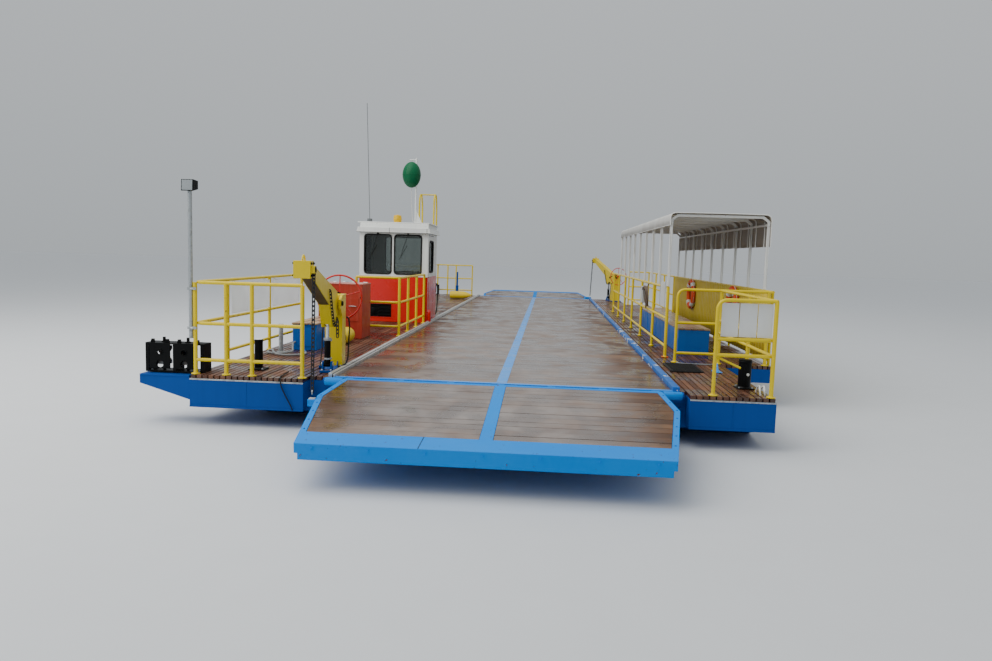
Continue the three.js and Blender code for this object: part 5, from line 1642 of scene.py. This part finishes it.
    def housing(self) -> None:
        """Dress the engine's housing and block, and add the lid, hinges, slots and a grip."""
        dress("engine_housing", DARK_RED, 8.0)
        dress("engine_block", IRON, 6.0)
        lid = Shape()
        lid.box((-3406, -2634), (3872, 4486), (926, 938))
        for leaf in ((-3380, -3030), (-3010, -2660)):
            lid.box(leaf, (3900, 4460), (936, 944))
        lid.done("housing_lid", LID_RED, soften=5.0)
        front = Shape()
        for i in range(7):
            z = 250 + i * 46
            front.prism(0, [(3879, z), (3879, z + 26), (3868, z + 4)], (-3300, -2960))
        front.box((-2900, -2700), (3871, 3881), (300, 700))
        front.done("housing_slots", DARK_RED, soften=2.0)
        metal = Shape()
        for x in (-3300, -3100, -2940, -2740):
            metal.tube([(x - 40, 4478, 942), (x + 40, 4478, 942)], 20, sides=12)
        grip = [(-2860, 3872, 560), (-2860, 3848, 560), (-2740, 3848, 560), (-2740, 3872, 560)]
        metal.tube(grip, 12, 20, sides=10)
        metal.done("housing_fittings", ZINC)


# Passenger stand

@dataclass
class Stand:
    """Roofed stand: bent roof sheet with ribs, ribbed yellow wall, benches and life rings."""

    left: float = 2350.0
    right: float = 3800.0
    start: float = 3050.0
    pitch: float = 975.0
    bays: int = 8
    eave: float = 2030.0
    roof: float = 2225.0
    low: float = 1745.0
    wall_x: float = 3764.0
    wall: Span = (2530.0, 11200.0)
    wall_top: float = 1080.0
    rib: float = 150.0
    ring_x: float = 3698.0
    ring_z: float = 760.0
    overhang: float = 58.0  # of the roof past its first and last frame
    lip: float = 30.0  # of the roof past the frames' sides

    def build(self) -> None:
        """Dress the frames and build the roof, the wall, the benches and the rings."""
        dress("canopy_frame_near", FRAME_WHITE, 5.0)
        dress("canopy_frame_far", FRAME_WHITE, 5.0)
        self.sheet(0.0, "roof_sheet", ROOF_SHEET, 5.0)
        # A second, grey-brown layer 9 mm inside paints the shade on the roof's underside.
        self.sheet(9.0, "roof_underside_painted_shade", UNDERSIDE_SHADE_SHEET, 2.0)
        self.ribs()
        self.side_wall()
        self.benches()
        for name, y in (("near", 4600.0), ("far", 8420.0)):
            self.life_ring(name, y)

    def section(self, inset: float, sag: float) -> list[Vector]:
        """Give the roof's cross section, drawn in by an inset and hanging by a sag."""
        x0 = self.left - self.lip + inset
        x1 = self.right + self.lip - inset
        top = self.roof - 3 - inset
        skirt = [(x0, 0, self.eave), (x0, 0, top), (x1, 0, top), (x1, 0, self.low)]
        path = rounded(skirt, 95, 7)
        fine = []
        for a, b in zip(path, path[1:]):
            parts = max(1, round((b - a).length / 120))
            fine += [a.lerp(b, i / parts) for i in range(parts)]
        fine.append(path[-1])
        middle = (x0 + x1) / 2
        for p in fine:
            share = max(0.0, 1 - ((p.x - middle) / (x1 - middle)) ** 2)
            p.z += 6 * share - sag * share
            if p.z < top - 110 and p.x > middle:
                p.x += sag * 0.5
        return fine

    def sheet(self, inset: float, name: str, finish: Finish, thick: float) -> None:
        """Build one layer of the roof, which hangs a little between the frames."""
        sheet = Shape()
        steps = 8
        rows = []
        total = self.bays * steps
        ends = (self.start - self.overhang + inset,
                self.start + self.bays * self.pitch + self.overhang - inset)
        for i in range(total + 1):
            y = ends[0] + (ends[1] - ends[0]) * i / total
            sag = 13 * math.sin(math.pi * (i % steps) / steps)
            rows.append([(p.x, y, p.z) for p in self.section(inset, sag)])
        sheet.loft(rows, caps=False, around=False)
        sheet.done(name, finish, thick=thick, smooth=60.0, instead=["canopy_sheet"])

    def ribs(self) -> None:
        """Add the round battens below the sheet, between the frames, and its edge ropes."""
        battens = Shape()
        for i in range(self.bays * 2):
            y = self.start + self.pitch * (i + 0.5) / 2 + (0 if i % 2 else -4)
            path = [(p.x, y, p.z) for p in self.section(20.0, 8.0)]
            battens.tube(path, 20, sides=10)
        battens.done("roof_battens", FRAME_WHITE)
        rope = Shape()
        for x, z in ((self.left - 34, self.eave + 4), (self.right + 30, self.low + 4)):
            path = [(x, self.start - 50 + i * 100, z - 3 * math.sin(i * 1.3))
                    for i in range(int(self.bays * self.pitch / 100))]
            rope.tube(path, 10, sides=8)
        for y in (self.start - self.overhang,
                  self.start + self.bays * self.pitch + self.overhang):
            rope.tube([(p.x, y, p.z) for p in self.section(2.0, 0.0)], 14, sides=8)
        rope.done("roof_edge_rope", FRAME_WHITE)

    def side_wall(self) -> None:
        """Build the yellow wall from trapezoid ribs, with its handrail, posts and foot rail."""
        outline = []
        y = self.wall[0]
        while y < self.wall[1] - self.rib:
            for share, depth in ((0.0, -13), (0.34, -13), (0.5, 12), (0.84, 12)):
                outline.append((self.wall_x + depth, y + share * self.rib))
            y += self.rib
        wall = Shape()
        wall.loft([[(x, v, z) for x, v in outline] for z in (60, 400, 740, self.wall_top)], caps=False,
                  around=False)
        wall.done("wall_ribbed_sheet", MUSTARD, thick=2.5, instead=["passenger_wall"])
        rails = Shape()
        x = 3784.0
        for along, z, diameter, sides in ((x, 1078, 42, 18), (x, 560, 20, 12), (x - 4, 80, 24, 12)):
            rails.tube([(along, y, z) for y in self.wall], diameter, sides=sides)
        for i in range(8):
            y = self.wall[0] + 21 + i / 7 * (self.wall[1] - self.wall[0] - 42)
            rails.tube([(x, y, 0.5), (x, y, 1070)], 42, sides=16)
        rails.done("wall_rails", YELLOW, instead=["passenger_wall"])

    def benches(self) -> None:
        """Dress the bench boxes and lay their slats."""
        dress("bench_box", BENCH_BLUE, 6.0)
        slats = Shape(seed=41)
        for i in range(5):
            x = 2630 + i * 104
            y = 3600.0
            while y < 8790:
                reach = min(y + 1300, 8800)
                top = 410 - slats.chance.uniform(0, 2)
                slats.box((x + 5, x + 99), (y + 1, reach - 1), (383, top))
                y = reach
        slats.done("bench_oak_slats", SEAT_OAK, soften=5.0, instead=["bench_slats"])
        edge = Shape()
        edge.box((2638, 3142), (3611, 3619), (340, 380))
        for y in (3616, 4900, 6200, 7500):
            edge.box((2640, 2648), (y, y + 50), (10, 380))
        edge.done("bench_edges", BENCH_BLUE, soften=2.0)
        chest = Shape()
        chest.box((-3270, -2910), (2220, 3420), (0.5, 380))
        chest.box((-3276, -2904), (2214, 3426), (366, 384))
        chest.box((-3200, -2980), (2213, 2221), (60, 320))
        chest.done("left_bench_chest", BENCH_BLUE, soften=5.0, instead=["bench_left"])
        seat = Shape(seed=43)
        for i in range(3):
            x = -3280 + i * 132
            seat.box((x, x + 116), (2200, 3440), (384, 409 - seat.chance.uniform(0, 2)))
        seat.done("left_bench_slats", SEAT_OAK, soften=5.0, instead=["bench_left"])

    def life_ring(self, name: str, y: float) -> None:
        """Build a life ring with white bands and its grab rope, on a bracket of the wall."""
        centre = Vector((self.ring_x, y, self.ring_z))
        ring = Shape()
        ring.ring(centre, (1, 0, 0), 560, 108, 56, 18, 0.86)
        ring.done(f"life_ring_cover_{name}", ORANGE, instead=[f"life_ring_{name}"])
        bands = Shape()
        rope = Shape()
        for quarter in range(4):
            start = math.radians(45 + 90 * quarter)
            arc = [start + math.radians(v) for v in range(-9, 10, 3)]
            path = [centre + 280 * Vector((0, math.cos(a), math.sin(a))) for a in arc]
            bands.tube(path, 113, sides=20)
            line = []
            for i in range(11):
                a = start + math.radians(9 * i)
                out = 340 - 10 * math.sin(math.pi * i / 10)
                line.append(centre + out * Vector((0, math.cos(a), math.sin(a))))
            rope.tube(line, 9, sides=8)
        bands.done(f"life_ring_bands_{name}", BLANK, instead=[f"life_ring_{name}"])
        rope.done(f"life_ring_rope_{name}", ROPE, instead=[f"life_ring_{name}"])
        hook = Shape()
        for arm in (y - 60, y + 60):
            hook.tube([(3760, arm, 1000), (3700, arm, 985), (3640, arm, 1020)], 14, 30, sides=10)
        hook.done(f"life_ring_hooks_{name}", ZINC)


# Deck gear

@dataclass
class Gear:
    """Small things on the deck: bollards, floats, floodlight, mat, tube and hoses."""

    float_radius: float = 125.0
    float_length: float = 700.0

    def build(self) -> None:
        """Build each of them."""
        self.bollard("left", (-3040, 320), 100, 385, BLACK)
        self.bollard("right", (2890, 400), 150, 350, BLACK)
        self.bollard("far", (-2740, plan.length - 900), 100, 385, HULL_BLUE)
        self.float("near", (-2760, 2950, 128), (0, 1, 0))
        self.float("far", (-2790, 16400, 128), (1, 0, 0))
        self.floodlight()
        self.mat()
        self.tube_and_hoses()
        self.small_brackets()

    def bollard(self, name: str, at: Span, wide: float, high: float, finish: Finish) -> None:
        """Build a bollard with its foot, collar and domed cap."""
        x, y = at
        r = wide / 2
        post = Shape()
        profile = [(r + 16, 12), (r, 26), (r, high - 40), (r + 5, high - 36), (r + 5, high - 22),
                   (r, high - 18), (r, high - 8)]
        post.lathe((x, y, 0), (0, 0, 1), profile, 32)
        post.box((x - 99, x + 99), (y - 99, y + 99), (0.5, 14))
        post.done(f"bollard_post_{name}", finish, soften=3.0, instead=[f"bollard_{name}"])
        cap = Shape()
        top = BLANK if name == "left" else finish
        dome = [(r, high - 10), (r, high - 5), (r * 0.8, high - 1.5), (0, high - 0.5)]
        cap.lathe((x, y, 0), (0, 0, 1), dome, 32)
        cap.done(f"bollard_cap_{name}", top, instead=[f"bollard_{name}"])
        bolts = Shape()
        bolts.bolts([(x + a, y + b, 14) for a in (-76, 76) for b in (-76, 76)], (0, 0, 1), 22)
        bolts.done(f"bollard_bolts_{name}", ZINC)
        if name == "far":
            tall = Shape()
            tall.tube([(x, y, high - 6), (x, y, 846)], 62, sides=18)
            tall.lathe((x, y, 0), (0, 0, 1), [(31, 840), (34, 846), (30, 858), (0, 862)], 20)
            tall.done("far_post_tube", HULL_BLUE)
        if name == "right":
            dot = Shape()
            dot.lathe((x + 20, y - r + 3, high * 0.5), (0.2, -1, 0), button(17, 10, 0, 4, 6), 20)
            dot.done("bollard_dot_right", BLANK)

    def float(self, name: str, start: Point, axis: Point) -> None:
        """Build a moulded float with two raised rings and a black flat end."""
        r = self.float_radius
        length = self.float_length
        body = Shape()
        profile = [(r * 0.8, 0), (r * 0.94, 14), (r, 50), (r, length * 0.6), (r * 0.97, length * 0.66),
                   (r * 0.72, length * 0.82), (r * 0.4, length * 0.95), (r * 0.3, length), (0, length)]
        body.lathe(start, axis, profile, 36)
        for share in (0.2, 0.42):
            body.ring(Vector(start) + Vector(axis) * length * share, axis, 2 * r - 2, 12, 48, 8)
        body.done(f"float_body_{name}", FLOAT_YELLOW, soften=4.0, instead=[f"float_{name}"])
        disc = Shape()
        disc.lathe(start, axis, button(r * 0.82, r * 0.8, -3, 5, 8), 36)
        disc.lathe(start, axis, button(30, 10, -9, 0, 2), 20)
        disc.done(f"float_end_{name}", RUBBER, soften=2.0, instead=[f"float_{name}"])

    def floodlight(self) -> None:
        """Build the floodlight: zinc pole, black lamp with cooling fins, and its grey face."""
        x = -3652.0
        y = -190.0
        pole = Shape()
        pole.tube([(x, y, 420), (x, y, 2136)], 48, sides=18)
        for z in (520, 980):
            pole.ring((x + 26, y, z + 25), (0, 0, 1), 60, 20, 24, 8)
            pole.box((x - 30, x + 80), (y - 34, y - 24), (z + 10, z + 40))
        pole.done("floodlight_pole", ZINC, soften=1.5, instead=["floodlight"])
        lamp = Shape()
        case = [(y - 66, 2124), (y + 58, 2152), (y + 58, 2248), (y - 58, 2256)]
        lamp.prism(0, case, (x - 73, x + 73))
        for i in range(7):
            fin = x - 60 + i * 20
            lamp.box((fin - 3, fin + 3), (y + 50, y + 60), (2156, 2246))
        yoke = [(x - 70, y, 2200), (x - 70, y, 2140), (x + 70, y, 2140), (x + 70, y, 2200)]
        lamp.tube(yoke, 12, 20, sides=8)
        lamp.done("floodlight_lamp", BLACK, soften=4.0, instead=["floodlight"])
        face = Shape()
        pane = [(y - 70, 2134), (y - 67, 2134), (y - 60, 2248), (y - 63, 2248)]
        face.prism(0, pane, (x - 62, x + 62))
        face.done("floodlight_face", LAMP_FACE, soften=1.0, instead=["floodlight"])

    def mat(self) -> None:
        """Lay the black rubber mat with its raised bars."""
        mat = Shape()
        outline = []
        for a, b, start in ((2590, 2240, 0), (2260, 2240, 90), (2260, 1560, 180), (2590, 1560, 270)):
            turns = [math.radians(start + t) for t in range(0, 91, 15)]
            outline += [(a + 60 * math.cos(t), b + 60 * math.sin(t)) for t in turns]
        mat.prism(2, outline, (0.5, 16))
        for i in range(18):
            y = 1530 + i * 41
            mat.box((2236, 2614), (y, y + 14), (14, 22))
        mat.done("rubber_mat", RUBBER, soften=3.0)

    def tube_and_hoses(self) -> None:
        """Stand the grey tube by the left bench and lay the hoses of the deck."""
        x = -3340.0
        y = 1920.0
        tube = Shape()
        tube.tube([(x, y, 0.5), (x, y, 396)], 62, sides=20)
        tube.lathe((x, y, 0), (0, 0, 1), [(60, 0.5), (60, 12), (34, 16)], 20)
        tube.lathe((x, y, 0), (0, 0, 1), [(33, 380), (38, 384), (38, 404), (28, 412), (0, 412)], 20)
        tube.done("fill_tube", ZINC, soften=1.0)
        loops = [(-3230, 2206, 120), (-3232, 2120, 112), (-3200, 2020, 50), (-3150, 1880, 22),
                 (-3190, 1720, 20), (-3330, 1640, 20), (-3470, 1700, 20), (-3500, 1860, 22),
                 (-3420, 1790, 54), (-3300, 1560, 24), (-3120, 1480, 20), (-2960, 1560, 20),
                 (-2900, 1720, 20), (-2960, 1860, 24)]
        nozzle = Shape()
        nozzle.lathe(loops[-1], (-0.4, 0.92, 0), [(19, -30), (21, 0), (21, 50), (14, 66), (14, 112),
                                                  (18, 120), (0, 121)], 20)
        fitting = nozzle.done("hose_nozzle", BLUE_PLASTIC)
        lay_cord("deck_hose", loops, 30, GREY_HOSE)
        over = [(-2600, 140, 12), (-2590, 0, 12), (-2576, -140, 12), (-2566, -220, 14),
                (-2556, -268, -4), (-2544, -276, -90), (-2490, -276, -200), (-2420, -275, -330),
                (-2408, -274, -372)]
        lay_cord("nose_line_left", over, 14, RUBBER)
        rear = [(-2086, 8460, 800), (-2082, 8540, 806), (-2076, 8700, 740), (-2090, 8840, 420),
                (-2120, 8930, 120), (-2180, 9040, 18), (-2300, 9200, 12), (-2420, 9280, 12)]
        lay_cord("rear_hose", rear, 24, RUBBER)
        right = [(2420, 2380, 12), (2470, 2310, 12), (2560, 2270, 12), (2680, 2300, 12),
                 (2790, 2280, 12), (2900, 2300, 12), (2990, 2380, 14)]
        lay_cord("deck_line_right", right, 18, GREY_HOSE)

    def small_brackets(self) -> None:
        """Add the small brackets and plates at the right front and by the posts."""
        blue = Shape()
        blue.box((2790, 2900), (1560, 1760), (0.5, 12))
        blue.prism(0, [(1570, 12), (1750, 12), (1700, 70), (1660, 120)], (2840, 2852))
        blue.done("deck_bracket_right", SKY_BLUE, soften=3.0)
        hooks = Shape()
        for x in (2960, 3010):
            hoop = [(x, -60, 2), (x - 10, -60, 60), (x + 20, 60, 92), (x + 24, 160, 60),
                    (x + 20, 200, 2)]
            hooks.tube(hoop, 20, 60, sides=12)
        hooks.done("deck_hoops_right", BLANK)
        brace = Shape()
        brace.tube([(2420, -186, 440), (2690, -170, 320)], 26, sides=14)
        brace.done("rail_brace_right", YELLOW)
        plate = Shape()
        plate.box((2300, 2400), (3000, 3100), (0.5, 12))
        plate.done("post_foot_orange", ORANGE, soften=3.0)


# Studio

@dataclass
class Studio:
    """Pale floor at the waterline, soft overcast light and the photo's camera."""

    waterline: float = 0.25
    half: float = 120.0
    eye: Point = (0.5134, -8.6820, 1.4995)  # of the camera in the plan, in metres
    yaw: float = -0.0683
    pitch: float = -0.1002
    roll: float = 0.0303
    lens: float = 27.245
    sky: float = 0.8  # strength of the overcast sky
    power: float = 3600.0  # of the softbox, in watts
    box_size: Span = (14.0, 26.0)

    def build(self) -> None:
        """Set up the stage."""
        self.floor()
        self.light()
        self.camera()

    def floor(self) -> None:
        """Lay the wide pale floor at the waterline."""
        size = self.half
        mesh = bpy.data.meshes.new("studio_floor")
        corners = [(-size, -size, self.waterline), (size, -size, self.waterline),
                   (size, size, self.waterline), (-size, size, self.waterline)]
        mesh.from_pydata(corners, [], [(0, 1, 2, 3)])
        mesh.materials.append(Moulded("studio_floor_pale", "white_paint", "#d3d6d8", "#d0d3d5", 0.6,
                                      0.0, 0.0).material())
        add_object("studio_floor", mesh)

    def light(self) -> None:
        """Light the scene like an overcast sky, brighter above, with one large soft source."""
        world = bpy.data.worlds.new("studio_sky")
        bpy.context.scene.world = world
        world.use_nodes = True
        tree = world.node_tree
        tree.nodes.clear()
        place = add_node(tree, "ShaderNodeTexCoord").outputs["Generated"]
        up = add_node(tree, "ShaderNodeSeparateXYZ", None, {0: place}).outputs[2]
        sky = blend(tree, remap(tree, up, (-0.1, 0.7), UNIT), "#c2c8cc", "#f2f6fa")
        back = shader(tree, "Background", {"Color": sky, "Strength": self.sky})
        add_node(tree, "ShaderNodeOutputWorld", None, {"Surface": back})
        lamp = bpy.data.lights.new("overcast_softbox", "AREA")
        lamp.shape = "RECTANGLE"
        lamp.size, lamp.size_y = self.box_size
        lamp.energy = self.power
        lamp.color = (1.0, 0.985, 0.96)
        box = add_object("overcast_softbox", lamp)
        box.location = (-7.0, -8.0, 15.0)
        aim = Vector((0.5, 0.0, 0.8)) - box.location
        box.rotation_euler = aim.to_track_quat("-Z", "Y").to_euler()

    def camera(self) -> None:
        """Stand the camera where the photo was taken from."""
        flat = math.cos(self.pitch)
        ahead = Vector((math.sin(self.yaw) * flat, math.cos(self.yaw) * flat, math.sin(self.pitch)))
        level = Vector((math.cos(self.yaw), -math.sin(self.yaw), 0))
        up = level.cross(ahead)
        right = math.cos(self.roll) * level + math.sin(self.roll) * up
        above = -math.sin(self.roll) * level + math.cos(self.roll) * up
        turn = Matrix((right, above, -ahead)).transposed().to_4x4()
        data = bpy.data.cameras.new("photo_view")
        data.lens = self.lens
        data.sensor_width = 36.0
        data.clip_end = 400.0
        camera = add_object("photo_view", data)
        camera.matrix_world = Matrix.Translation(plan.origin + Vector(self.eye)) @ turn
        bpy.context.scene.camera = camera


def main() -> None:
    """Build the dressed ferry and its stage."""
    logging.basicConfig(level=logging.INFO, format="%(message)s")
    parts = [
        Hull(), Decks(), Ramp(End.NEAR, NEAR_PITCH), Ramp(End.FAR, FAR_PITCH),
        Hoist(End.NEAR, -2204.0, 5.14, (-1950.0, -900.0), 0.0, 0.0),
        Hoist(End.FAR, -2760.0, 20.5, (-2066.0, -780.0), FAR_RAISED * BOOM_SHARE, FAR_RAISED),
        CableGuide(End.NEAR), CableGuide(End.FAR), Railings(), Cabin(), Stand(), Gear(), Studio(),
    ]
    for part in parts:
        log.info("building %s", type(part).__name__)
        part.build()


if __name__ == "__main__":
    main()
